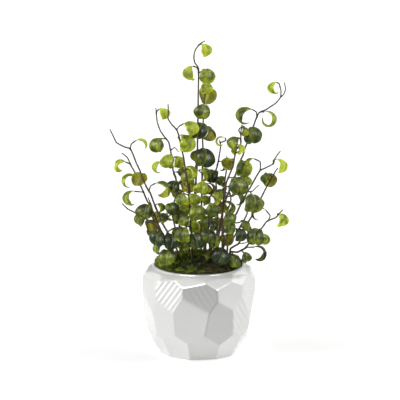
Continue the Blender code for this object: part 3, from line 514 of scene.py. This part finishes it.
def moss_bed_material():
    """The dark matted moss between the strands."""
    g = material_graph("moss_bed")
    clumps = g.noise(60.0, 3.0, 0.6)
    fine = g.noise(600.0, 3.0, 0.7)
    colour = g.ramp(clumps, [(0.35, (0.015, 0.022, 0.002)), (0.65, (0.07, 0.1, 0.008))])
    colour = g.mix(g.math("MULTIPLY", fine, 0.5), colour, (0.02, 0.025, 0.008))
    g.set(Base_Color=colour, Roughness=0.9, Specular_IOR_Level=0.1)
    g.bump(fine, 0.8, 0.001)
    return g.owner


def moss_strand_material():
    """Moss strands, from dark to bright green by clump, some dry and brown."""
    g = material_graph("moss_strand")
    colour = g.ramp(g.attribute("light"), [(0.15, (0.012, 0.018, 0.001)), (0.45, (0.085, 0.13, 0.005)),
                                           (0.75, (0.3, 0.39, 0.022)), (1.0, (0.5, 0.56, 0.065))])
    colour = g.mix(g.attribute("dry"), colour, (0.18, 0.1, 0.03))
    g.set(Base_Color=g.mix(g.math("MULTIPLY", g.noise(500.0, 2.0), 0.3), colour, (0.015, 0.02, 0.002)))
    g.set(Roughness=0.8, Specular_IOR_Level=0.1)
    return g.owner


def soil_material():
    """Dark crumbs of bark compost."""
    g = material_graph("bark_compost")
    crumbs = g.noise(250.0, 5.0, 0.7)
    colour = g.ramp(crumbs, [(0.3, (0.015, 0.01, 0.006)), (0.7, (0.09, 0.055, 0.035))])
    g.set(Base_Color=colour, Roughness=0.95)
    g.bump(crumbs, 0.9, 0.002)
    return g.owner


# Shapes

class Shape:
    """The corner points and faces of a piece, and marks for its material: values at each point."""

    def __init__(self, *marks):
        self.verts = []
        self.faces = []
        self.marks = {mark: [] for mark in marks}

    def add(self, verts, faces, **marks):
        """Adds a form to the shape; each mark is one value, or one for every point of the form."""
        start = len(self.verts)
        self.verts.extend(verts)
        self.faces.extend(tuple(start + i for i in face) for face in faces)
        for mark, values in marks.items():
            self.marks[mark].extend(np.broadcast_to(values, len(verts)).tolist())


def piece(name, shape, finish, replaced=()):
    """A smooth-shaded piece on the root body."""
    mesh = bpy.data.meshes.new(name)
    mesh.from_pydata((np.asarray(shape.verts, float) * MM).tolist(), [], shape.faces)
    for mark, values in shape.marks.items():
        layer = mesh.attributes.new(mark, "FLOAT", "POINT")
        layer.data.foreach_set("value", np.asarray(values, np.float32))
    mesh.validate()
    mesh.shade_smooth()
    mesh.materials.append(finish)
    made = bpy.data.objects.new(name, mesh)
    scene.collection.objects.link(made)
    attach(made, "root")
    if replaced:
        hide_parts(*replaced)


def ring_points(rings, bearing):
    """The points of rings round the axis, each ring given by its radius and height at every bearing."""
    verts = []
    for radius, height in rings:
        ring = np.broadcast_arrays(radius * np.cos(bearing), radius * np.sin(bearing), height)
        verts += np.stack(ring, axis=-1).tolist()
    return verts


def ring_faces(columns, rings):
    """The faces of a closed skin: its first point, then rings of points, then its last point."""
    faces, last = [], 1 + columns * rings
    for k in range(columns):
        m = (k + 1) % columns
        faces.append((0, 1 + m, 1 + k))
        faces.append((last, last - columns + k, last - columns + m))
        for low in range(1, last - columns, columns):
            high = low + columns
            faces.append((low + k, low + m, high + m, high + k))
    return faces


def smooth_line(points, spacing):
    """A smooth curve through points, with a point about every spacing."""
    points = [np.asarray(p, float) for p in points]
    ends = [2 * points[0] - points[1], *points, 2 * points[-1] - points[-2]]
    line = []
    for before, a, b, after in zip(ends, ends[1:], ends[2:], ends[3:]):
        length = float(np.linalg.norm(b - a))
        steps = max(1, round(length / spacing))
        reach = length / 2
        leave = (b - before) / np.linalg.norm(b - before) * reach
        arrive = (after - a) / np.linalg.norm(after - a) * reach
        for k in range(steps):
            t = k / steps
            line.append(a * (2 * t**3 - 3 * t**2 + 1) + leave * (t**3 - 2 * t**2 + t)
                        + b * (3 * t**2 - 2 * t**3) + arrive * (t**3 - t**2))
    return line + [points[-1]]


def tube(points, radii, sides):
    """A tube along points with a radius at each, closed at both ends."""
    verts, faces = [], []
    side = np.array([1.0, 0.0, 0.0])
    for i, point in enumerate(points):
        ahead = points[min(i + 1, len(points) - 1)] - points[max(i - 1, 0)]
        ahead = ahead / max(float(np.linalg.norm(ahead)), 1e-9)
        side = side - ahead * float(side @ ahead)
        if float(np.linalg.norm(side)) < 1e-6:
            side = np.cross(ahead, [0.0, 0.0, 1.0])
        side = side / np.linalg.norm(side)
        other = np.cross(ahead, side)
        for k in range(sides):
            a = 2 * math.pi * k / sides
            verts.append(point + radii[i] * (math.cos(a) * side + math.sin(a) * other))
    last = (len(points) - 1) * sides
    for low in range(0, last, sides):
        high = low + sides
        for k in range(sides):
            n = (k + 1) % sides
            faces.append((low + k, low + n, high + n, high + k))
    faces += [tuple(range(sides - 1, -1, -1)), tuple(range(last, last + sides))]
    return verts, faces


# Pot

def bearing_vector(bearing, lean=0.0):
    """The direction that a bearing points to, raised by lean; 0 is the front, -Y."""
    a, t = math.radians(bearing), math.radians(lean)
    return np.array([math.sin(a) * math.cos(t), -math.cos(a) * math.cos(t), math.sin(t)])


def full_row(front, back):
    """A row's front facets, and its other facets spaced evenly round the back."""
    first, last = front[0][0], front[-1][0]
    steps = FACETS_PER_ROW - len(front) + 1
    return front + [(last + (first + 360 - last) * k / steps, *back) for k in range(1, steps)]


def flute_cut(flutes, spots, height, point, normal):
    """How deep a facet's flutes go at spots (x, y) of one height; point and normal place the facet."""
    slope, pitch, shift, part = flutes
    level = np.cross([0, 0, 1], normal)
    level = level / np.linalg.norm(level)
    rising = np.cross(normal, level)
    slope = math.radians(slope)
    across = np.cross(normal, level * math.cos(slope) + rising * math.sin(slope))
    beside = spots @ across[:2] + across[2] * height - across @ point
    wave = 0.5 + 0.5 * np.cos(2 * math.pi * beside / pitch - math.radians(shift))
    return FLUTE_DEPTH * part * (1 - wave)


def pot_radius(bearing, height):
    """The pot's outer radius at each bearing (radians from +X) at a height, and the glaze's painted shading
    there.
    """
    ray = np.stack([np.cos(bearing), np.sin(bearing)], axis=-1)
    shares, toned = {}, 0.0
    for front, back in ROWS:
        for b, z, distance, lean in full_row(front, back):
            point = bearing_vector(b) * distance + np.array([0, 0, z])
            normal = bearing_vector(b, lean)
            reach = (normal @ point - normal[2] * height) / np.maximum(ray @ normal[:2], 0.05)
            if (b, z) in FLUTED:
                reach = reach - flute_cut(FLUTED[(b, z)], ray * reach[:, None], height, point, normal)
            shares[(b, z)] = np.exp(-reach / EDGE_SOFTNESS)
            # Painted light and shade of each facet, weighed by how much of the surface that facet makes here
            toned = toned + shares[(b, z)] * FACET_PAINTED_SHADING.get((b, z), BACK_PAINTED_LIGHT.get(z, 0.0))
    start, low = SHOULDER_START
    end, high = RIM_RADIUS + RIM_CHAMFER, POT_HEIGHT - RIM_CHAMFER * CHAMFER_STEEPNESS
    cone = start + (height - low) * (end - start) / (high - low)
    rim_share = np.exp(-cone / EDGE_SOFTNESS)
    total = sum(shares.values()) + rim_share
    toned = (toned + rim_share * RIM_PAINTED_LIGHT) / total
    # Darker along the edges between these pairs of facets
    for one, other in DARK_EDGES:
        toned = toned + DARK_EDGE_TONE * shares[one] * shares[other] / total ** 2
    return -EDGE_SOFTNESS * np.log(total), toned


def make_pot():
    """The whole shell: underside, faceted wall, rounded lip and inner wall."""
    bearing = np.linspace(0, 2 * math.pi, POT_COLUMNS, endpoint=False)
    lip_low = POT_HEIGHT - LIP_DROP
    # tone and tones carry the glaze's painted light and shade at each point
    edge, tone = pot_radius(bearing, FOOT_TOP)
    rings = [(edge * part, 0.0) for part in BASE_RINGS]
    rings += [(edge - inset, height) for inset, height in FOOT_ROUNDING]
    tones = [0.0] + tone.tolist() * len(rings)
    for height in np.linspace(FOOT_TOP, lip_low, POT_ROWS):
        radius, tone = pot_radius(bearing, height)
        rings.append((radius, height))
        tones += tone.tolist()
    outer, inner = rings[-1][0], HOLLOW[-1][0]
    for k in range(1, LIP_STEPS):
        a = math.pi * k / LIP_STEPS
        rings.append((inner + (outer - inner) / 2 * (1 + math.cos(a)), lip_low + LIP_RISE * math.sin(a)))
    rings += [(radius, min(height, lip_low)) for radius, height in reversed(HOLLOW[1:])]
    shell = Shape("tone")
    verts = [(0.0, 0.0, 0.0), *ring_points(rings, bearing), (0.0, 0.0, HOLLOW[0][1])]
    tones += [0.0] * (len(verts) - len(tones))
    shell.add(verts, ring_faces(POT_COLUMNS, len(rings)), tone=tones)
    piece("pot_glazed", shell, glaze_material(), ["pot"])


def dress_soil():
    """The soil is hidden, so the CAD's own solid stays, with a material."""
    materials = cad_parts["soil"].data.materials
    materials.clear()
    materials.append(soil_material())


# Moss

def moss_height(x, y):
    """The moss's surface: a low mound with lumps, and a heap at the left."""
    out = np.hypot(x, y) / MOSS_EDGE
    mound = MOSS_EDGE_TOP + (MOSS_MIDDLE_TOP - MOSS_EDGE_TOP) * (1 - out ** 2)
    waves = np.sin(x * 0.31 + 1.3) * np.cos(y * 0.27 + 0.4) + 0.6 * np.sin(x * 0.13 - y * 0.37 + 2.0)
    from_heap = ((x - HEAP_MIDDLE[0]) / HEAP_SPREAD[0]) ** 2 + ((y - HEAP_MIDDLE[1]) / HEAP_SPREAD[1]) ** 2
    return mound + MOSS_HEAP * np.exp(-from_heap) + MOSS_LUMP * waves * (1 - 0.5 * out)


def make_moss_bed():
    """A plug in the pot's mouth with a rough, mounded top."""
    angle = np.linspace(0, 2 * math.pi, BED_SPOKES, endpoint=False)
    rings = [(BED_RADIUS, BED_FLOOR), (BED_RADIUS, BED_LEDGE), (MOSS_EDGE - 0.4, BED_LEDGE)]
    for k in range(BED_RINGS):
        radius = (MOSS_EDGE - 0.2) * math.cos(k / BED_RINGS * math.pi / 2)
        x, y = radius * np.cos(angle), radius * np.sin(angle)
        rough = 0.5 * np.sin(x * 1.9 + 3 * np.sin(y * 0.7)) * np.cos(y * 2.1 + 2 * np.cos(x * 0.9))
        rings.append((radius, moss_height(x, y) - BED_DEPTH + rough))
    top = float(moss_height(0.0, 0.0)) - BED_DEPTH
    bed = Shape()
    verts = [(0.0, 0.0, BED_FLOOR), *ring_points(rings, angle), (0.0, 0.0, top)]
    bed.add(verts, ring_faces(BED_SPOKES, len(rings)))
    piece("moss_bed", bed, moss_bed_material(), ["moss"])


def strand_line(draw, x, y, clump):
    """A curly line that grows out of the moss at x, y and stays within its edge."""
    base = np.array([x, y, float(moss_height(x, y)) - STRAND_DEPTH + 1.6 * clump])
    lean = draw.uniform(0, 2 * math.pi)
    level = np.array([math.cos(lean), math.sin(lean), 0.0])
    length, curl = draw.uniform(*STRAND_LENGTH), draw.uniform(*STRAND_CURL)
    line, pitch = [base], draw.uniform(*STRAND_PITCH)
    steps = len(STRAND_TAPER) - 1
    for _ in range(steps):
        ahead = level * math.cos(pitch) + np.array([0, 0, math.sin(pitch)])
        line.append(line[-1] + length / steps * ahead)
        pitch -= curl / steps
    far = max(math.hypot(p[0], p[1]) for p in line)
    if far > MOSS_EDGE:
        line = [p * np.array([MOSS_EDGE / far, MOSS_EDGE / far, 1.0]) for p in line]
    return line


def make_moss_strands():
    """Short curly strands in lighter and darker clumps, closest at the rim, some dry at the front right."""
    draw = random.Random(MOSS_SEED)
    clumps = np.array([[draw.uniform(-MOSS_EDGE, MOSS_EDGE) for _ in range(2)] + [draw.random()]
                       for _ in range(MOSS_CLUMPS)])
    strands = Shape("light", "dry")
    for _ in range(MOSS_STRANDS):
        out = MOSS_EDGE * math.sqrt(draw.random())
        if draw.random() < RIM_PART:
            out = MOSS_EDGE * draw.uniform(*RIM_BAND)
        a = draw.uniform(0, 2 * math.pi)
        x, y = out * math.cos(a), out * math.sin(a)
        clump = float(clumps[np.argmin(np.hypot(clumps[:, 0] - x, clumps[:, 1] - y)), 2])
        line = strand_line(draw, x, y, clump)
        width = draw.uniform(*STRAND_WIDTH)
        verts, faces = tube(line, [width * part for part in STRAND_TAPER], 3)
        leftward = min(max((-x - 5) / 45, 0.0), 1.0)
        light = 0.5 * clump + 0.3 * draw.random() + 0.3 * leftward
        front_right = x > 5 and y < -0.4 * MOSS_EDGE
        dry = 1.0 if front_right and draw.random() < DRY_PART else 0.0
        strands.add(verts, faces, light=light, dry=dry)
    piece("moss_strands", strands, moss_strand_material())


# Stems and leaves

def seen(across, up, depth):
    """A point of the front view, at a depth behind the pot's axis, as a place in the part's frame."""
    return np.array([across, depth, (up - depth * math.sin(VIEW_TILT)) / math.cos(VIEW_TILT)])


def stem_lines(stem):
    """The stem's main line from the tip to the root, and those of its twigs, each with its two radii."""
    x, y = stem["root"]
    main = [seen(across, up, depth * DEPTH_SPREAD) for across, up, depth in stem["route"]]
    main += [np.array([x, y, ROOT_TOP]), np.array([x, y, ROOT_DEPTH])]
    lines = [(main, TIP_RADIUS, ROOT_RADIUS)]
    for twig in stem.get("twigs", []):
        points = [seen(across, up, depth * DEPTH_SPREAD) for across, up, depth in twig]
        lines.append((points, ROOT_RADIUS * TWIG_START, TIP_RADIUS))
    return lines


def nearest_on(lines, target, spacing=2.0):
    """The place on a stem's lines nearest to a target."""
    best, best_distance = None, math.inf
    for points, _, _ in lines:
        for a, b in zip(points, points[1:]):
            steps = max(1, int(np.linalg.norm(b - a) / spacing))
            for k in range(steps + 1):
                place = a + (b - a) * k / steps
                distance = float(np.linalg.norm(place - target))
                if distance < best_distance:
                    best, best_distance = place, distance
    return best


def curl_of(leaf):
    """A leaf's size across its curl, and how far it curls round."""
    return leaf[3] * CURL_SCALE, math.radians(leaf[4] if len(leaf) > 4 else USUAL_TURN)


def curl_radius(size, turn, part):
    """The curl's radius at a part of the leaf's length: it closes towards the tip."""
    return size / 2 * (1 - CURL_CLOSING * part * turn / (2 * math.pi))


def leaf_frame(heading, lean):
    """A leaf's three directions: outwards, sideways and up, leaned over sideways."""
    out = bearing_vector(heading)
    side = np.cross(out, [0.0, 0.0, 1.0])
    up = np.array([0.0, 0.0, 1.0]) * math.cos(lean) + side * math.sin(lean)
    return out, np.cross(out, up), up


def leaf_centre(leaf, lines, depth, up):
    """Where a leaf's curl has its middle: as deep as its stem there, and out along its bearing."""
    across, height, heading, size = leaf[:4]
    main = lines[0][0]
    beside = nearest_on(lines[:1], seen(across, height, float(np.mean([p[1] for p in main]))))
    reach = size * CURL_REACH + STALK_REACH
    place = float(beside[1]) - math.cos(math.radians(heading)) * reach + depth
    return seen(across, height + up, place)


def coarse_corners(centre, leaf, lean, start):
    """Corner points of the leaf's CAD solid, to find it by."""
    size, turn = curl_of(leaf)
    out, side, up = leaf_frame(leaf[2], lean)
    found = []
    for station, width in zip(BLADE_STATIONS, BLADE_WIDTHS):
        angle = start - turn * station
        radius = curl_radius(size, turn, station)
        radial = out * math.cos(angle) + up * math.sin(angle)
        for a, r in BLADE_SECTION:
            found.append(centre + side * (size / 2 * width * a) + radial * (radius * (1 - (1 - r) * width)))
    return found


def leaf_moves():
    """The small moves that the CAD tries for a leaf, in depth, bearing and height, the least first."""
    moves = []
    for depth in DEPTH_TRIES:
        for turned in TURN_TRIES:
            for up in RISE_TRIES:
                moves.append((abs(depth) / 3 + abs(turned) / 8 + up, depth, turned, up))
    return [move[1:] for move in sorted(moves)]


LEAF_MOVES = leaf_moves()


def leaf_in_frame(tree, leaf, lines, lean, start):
    """The leaf as the CAD node has it: its bearing and the middle of its curl, or None if it isn't there."""
    for depth, turned, up in LEAF_MOVES:
        tried = (*leaf[:2], leaf[2] + turned, *leaf[3:])
        centre = leaf_centre(tried, lines, depth, up)
        corners = coarse_corners(centre, tried, lean, start)
        near = sum(tree.find(Vector(c * MM))[2] < FOUND_WITHIN * MM for c in corners)
        if near > len(corners) * FOUND_PART:
            return tried, centre
    return None


def fine_blade(centre, leaf, lean, start, draw):
    """The outer and inner skin of a curled blade: two rounded lobes, a sunken midrib and a wavy rim."""
    size, turn = curl_of(leaf)
    out, side, up = leaf_frame(leaf[2], lean)
    own = {name: draw.uniform(*limits) for name, limits in BLADE_LIMITS.items()}
    phase = own["phase"]
    along = np.linspace(0.0, 1.0, LEAF_ROWS)[:, None]
    across = np.linspace(-1.0, 1.0, LEAF_COLUMNS)[None, :]
    half, off_rib = np.sign(across), np.abs(across)
    width = np.sin(math.pi * np.clip(along, 0.004, 0.996) ** own["widest"]) ** own["fullness"]
    to_rim = np.clip((off_rib - 0.5) / 0.5, 0, 1)

    sideways = half * (np.minimum(off_rib, 0.5) + 0.44 * (1 - (1 - to_rim) ** 1.7))
    sideways = size / 2 * width * sideways * (1 + own["wider half"] * half)
    sideways = sideways * (1 + own["ruffle"] * np.sin(own["folds"] * along + 2 * phase + 1.7 * half))

    sunk = own["crease"] * np.clip(1 - off_rib / 0.55, 0, 1) ** 1.8
    sunk = sunk + 0.36 * np.clip((off_rib - 0.35) / 0.65, 0, 1) ** 2
    sunk = sunk + own["wavy rim"] * np.sin(9 * along + phase + half * 0.8) * to_rim
    sunk = sunk + 0.018 * np.sin(26 * along + 2 * phase + half) * off_rib

    radius = curl_radius(size, turn, along) * BLADE_FIT * (1 + own["swell"] * np.sin(5 * along + phase))
    angle = start - turn * along
    radial = out * np.cos(angle)[..., None] + up * np.sin(angle)[..., None]
    turned = own["twist"] * (along - 0.25)
    aside = sideways * np.cos(turned) + size / 2 * own["drift"] * along ** 2
    outward = radius * (1 - sunk * width) + sideways * np.sin(turned)
    outer = centre + side * aside[..., None] + radial * outward[..., None]

    normal = np.cross(np.gradient(outer, axis=0), np.gradient(outer, axis=1))
    normal = normal / np.maximum(np.linalg.norm(normal, axis=-1, keepdims=True), 1e-9)
    if float(np.einsum("ijk,ijk->", normal, radial * np.ones_like(normal))) < 0:
        normal = -normal
    thickness = BLADE_THICKNESS * (0.35 + 0.65 * np.sin(np.clip(along * 12, 0, 1.57)))
    return outer, outer - normal * thickness[..., None]


def blade_faces():
    """Faces of a blade's outer and inner skin, and of the edge that joins them."""
    rows, columns = LEAF_ROWS, LEAF_COLUMNS
    inner, faces = rows * columns, []
    for i in range(rows - 1):
        for j in range(columns - 1):
            a = i * columns + j
            b, c, d = a + 1, a + 1 + columns, a + columns
            faces.append((a, b, c, d))
            faces.append((inner + a, inner + d, inner + c, inner + b))
    around = list(range(columns)) + [i * columns + columns - 1 for i in range(1, rows)]
    around += [(rows - 1) * columns + j for j in range(columns - 2, -1, -1)]
    around += [i * columns for i in range(rows - 2, 0, -1)]
    for a, b in zip(around, around[1:] + around[:1]):
        faces.append((b, a, inner + a, inner + b))
    return faces


BLADE_FACES = blade_faces()


def leaf_draws():
    """For each stem, each leaf's lean and where its curl starts; the late leaves of all stems draw last."""
    draw = random.Random(DRAW_SEED)
    drawn = [[] for _ in STEMS]
    for kind in ("leaves", "late"):
        for stem, found in zip(STEMS, drawn):
            for _ in stem.get(kind, []):
                lean, start = draw.uniform(*LEAN_LIMITS), draw.uniform(*START_LIMITS)
                found.append((math.radians(lean), math.radians(start)))
    return drawn


def corner_tree(name):
    """The corner points of a CAD node, in a tree that finds the nearest one."""
    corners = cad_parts[name].data.vertices
    tree = KDTree(len(corners))
    for i, corner in enumerate(corners):
        tree.insert(corner.co, i)
    tree.balance()
    return tree


def add_blade(blades, outer, inner, tone):
    """Adds a blade to the stem's leaves, with the marks that its material needs."""
    count = LEAF_ROWS * LEAF_COLUMNS
    verts = outer.reshape(-1, 3).tolist() + inner.reshape(-1, 3).tolist()
    across = np.tile(np.linspace(-1.0, 1.0, LEAF_COLUMNS), 2 * LEAF_ROWS)
    along = np.tile(np.repeat(np.linspace(0.0, 1.0, LEAF_ROWS), LEAF_COLUMNS), 2)
    under = np.repeat([0.0, 1.0], count)
    blades.add(verts, BLADE_FACES, tone=tone, under=under, across=across, along=along)


def add_tube(twigs, line, radii, sides, young):
    """Adds a tube to the stem's twigs, with how young it is at each point of its line."""
    verts, faces = tube(line, radii, sides)
    twigs.add(verts, faces, young=np.repeat(young, sides))


def add_stalk(twigs, lines, outer, inner):
    """Adds the stalk that bends from the stem into a blade's base, and gives the place that it grows from."""
    base = (outer[0].mean(axis=0) + inner[0].mean(axis=0)) / 2
    ahead = outer[2, LEAF_COLUMNS // 2] - outer[0, LEAF_COLUMNS // 2]
    ahead = ahead / np.linalg.norm(ahead)
    root = nearest_on(lines, base - np.array([0.0, 0.0, STALK_RISE]))
    bend = base - ahead * float(np.linalg.norm(base - root)) * 0.45
    elbow = root * 0.35 + bend * 0.65 + (base - root) * 0.05
    line = smooth_line([root, elbow, base - ahead * 0.5, base + ahead * 1.5], STALK_STEP)
    part = np.linspace(0, 1, len(line))
    add_tube(twigs, line, np.interp(part, *STALK_RADII), STALK_SIDES, np.interp(part, *STALK_GREEN))
    return root


def add_bark(twigs, lines, joints):
    """Adds the stem and its side twigs, swollen where stalks grow from them and thin at their tips."""
    for points, first, last in lines:
        line = smooth_line(points, STEM_STEP)
        lengths = np.cumsum([0.0] + [float(np.linalg.norm(b - a)) for a, b in zip(line, line[1:])])
        radii = first + (last - first) * (lengths / lengths[-1]) ** STEM_TAPER
        for joint in joints:
            gap = np.array([float(np.linalg.norm(p - joint)) for p in line])
            radii = radii * (1 + NODE_SWELLING * np.exp(-(gap / NODE_REACH) ** 2))
        from_tip = first < last
        radii[0 if from_tip else -1] *= TIP_POINT
        young = np.clip(1 - lengths / GREEN_LENGTH, 0, 1) if from_tip else np.full(len(line), TWIG_GREEN)
        add_tube(twigs, line, radii, STEM_SIDES, young)


def make_stem(number, stem, drawn, looks, finishes):
    """One stem's leaves and twigs, with every leaf where the CAD node has it."""
    name = f"stem_{number:02d}"
    lines, tree = stem_lines(stem), corner_tree(name)
    blades, twigs, joints = Shape("tone", "under", "across", "along"), Shape("young"), []
    late = stem.get("late", [])
    for leaf, tone, (lean, start) in zip(stem["leaves"] + late, stem["tones"], drawn):
        found = leaf_in_frame(tree, leaf, lines, lean, start)
        if found is None:
            print("leaf not in the frame:", name, leaf)
            continue
        placed, centre = found
        own_looks = random.Random(number) if leaf in late else looks
        outer, inner = fine_blade(centre, placed, lean, start, own_looks)
        add_blade(blades, outer, inner, tone + own_looks.uniform(-AGE_SPREAD, AGE_SPREAD))
        joints.append(add_stalk(twigs, lines, outer, inner))
    add_bark(twigs, lines, joints)
    leaf_finish, bark = finishes
    piece(f"leaves_{number:02d}", blades, leaf_finish, [name])
    piece(f"twigs_{number:02d}", twigs, bark, [name])


def make_plant():
    """All the stems, which share one material for leaves and one for bark."""
    looks = random.Random(LOOKS_SEED)
    finishes = leaf_material(), bark_material()
    for number, (stem, drawn) in enumerate(zip(STEMS, leaf_draws()), 1):
        make_stem(number, stem, drawn, looks, finishes)


# Floor, light and camera

def make_floor():
    """A pale floor that glows a little, white round the pot and greyer towards the viewer."""
    r = FLOOR_REACH
    mesh = bpy.data.meshes.new("floor")
    mesh.from_pydata([(-r, -r, 0), (r, -r, 0), (r, r, 0), (-r, r, 0)], [], [(0, 1, 2, 3)])
    g = material_graph("pale_floor")
    split = g.node("ShaderNodeSeparateXYZ", {"Vector": g.place()})
    near = g.span(split.outputs["Y"], -FLOOR_WHITE_TO, -FLOOR_GREY_FROM)
    pale = g.mix(near, FLOOR_WHITE, FLOOR_GREY)
    g.set(Base_Color=pale, Roughness=0.9, Specular_IOR_Level=0.1)
    g.set(Emission_Color=pale, Emission_Strength=FLOOR_GLOW)
    mesh.materials.append(g.owner)
    floor = bpy.data.objects.new("floor", mesh)
    scene.collection.objects.link(floor)


def make_world():
    """A world of soft lobes of light: bright at both sides, above and behind, dark in front."""
    g = Graph(bpy.data.worlds.new("studio"), "Background")
    where = g.node("ShaderNodeTexCoord").outputs["Generated"]
    total = 0.0
    for bearing, height, tightness, strength in LIGHTS:
        ends = {0: where, 1: bearing_vector(bearing, height)}
        facing = g.node("ShaderNodeVectorMath", ends, operation="DOT_PRODUCT").outputs["Value"]
        away = g.math("MULTIPLY", g.math("SUBTRACT", facing, 1.0), tightness)
        total = g.math("ADD", total, g.math("MULTIPLY", g.math("EXPONENT", away), strength))
    g.set(Strength=total, Color=(1.0, 1.0, 1.0, 1.0))
    scene.world = g.owner


def make_sparkles():
    """Soft boxes that give glossy surfaces small highlights and light nothing else."""
    for bearing, height, distance, wide, tall, power in SPARKLES:
        data = bpy.data.lights.new("sparkle", "AREA")
        data.shape = "RECTANGLE"
        data.size, data.size_y, data.energy = wide, tall, power
        box = bpy.data.objects.new("sparkle", data)
        towards = Vector(bearing_vector(bearing, height))
        box.location = towards * distance + Vector((0.0, 0.0, PLANT_MIDDLE))
        box.rotation_euler = towards.to_track_quat("Z", "Y").to_euler()
        box.visible_diffuse = False
        box.visible_camera = False
        scene.collection.objects.link(box)


def make_camera():
    """The camera, in front and looking down at the photo's angle."""
    data = bpy.data.cameras.new("camera")
    data.sensor_width = SENSOR
    data.lens = SENSOR * CAMERA_DISTANCE / PICTURE_WIDTH
    data.clip_end = FARTHEST_SEEN
    made = bpy.data.objects.new("camera", data)
    across, up = PICTURE_MIDDLE
    target = Vector((across, 0.0, up / math.cos(VIEW_TILT)))
    back = Vector((0.0, -math.cos(VIEW_TILT), math.sin(VIEW_TILT)))
    made.location = target + back * CAMERA_DISTANCE
    made.rotation_euler = (-back).to_track_quat("-Z", "Y").to_euler()
    scene.collection.objects.link(made)
    scene.camera = made


make_camera()
make_world()
make_sparkles()
make_floor()
make_pot()
dress_soil()
make_moss_bed()
make_moss_strands()
make_plant()
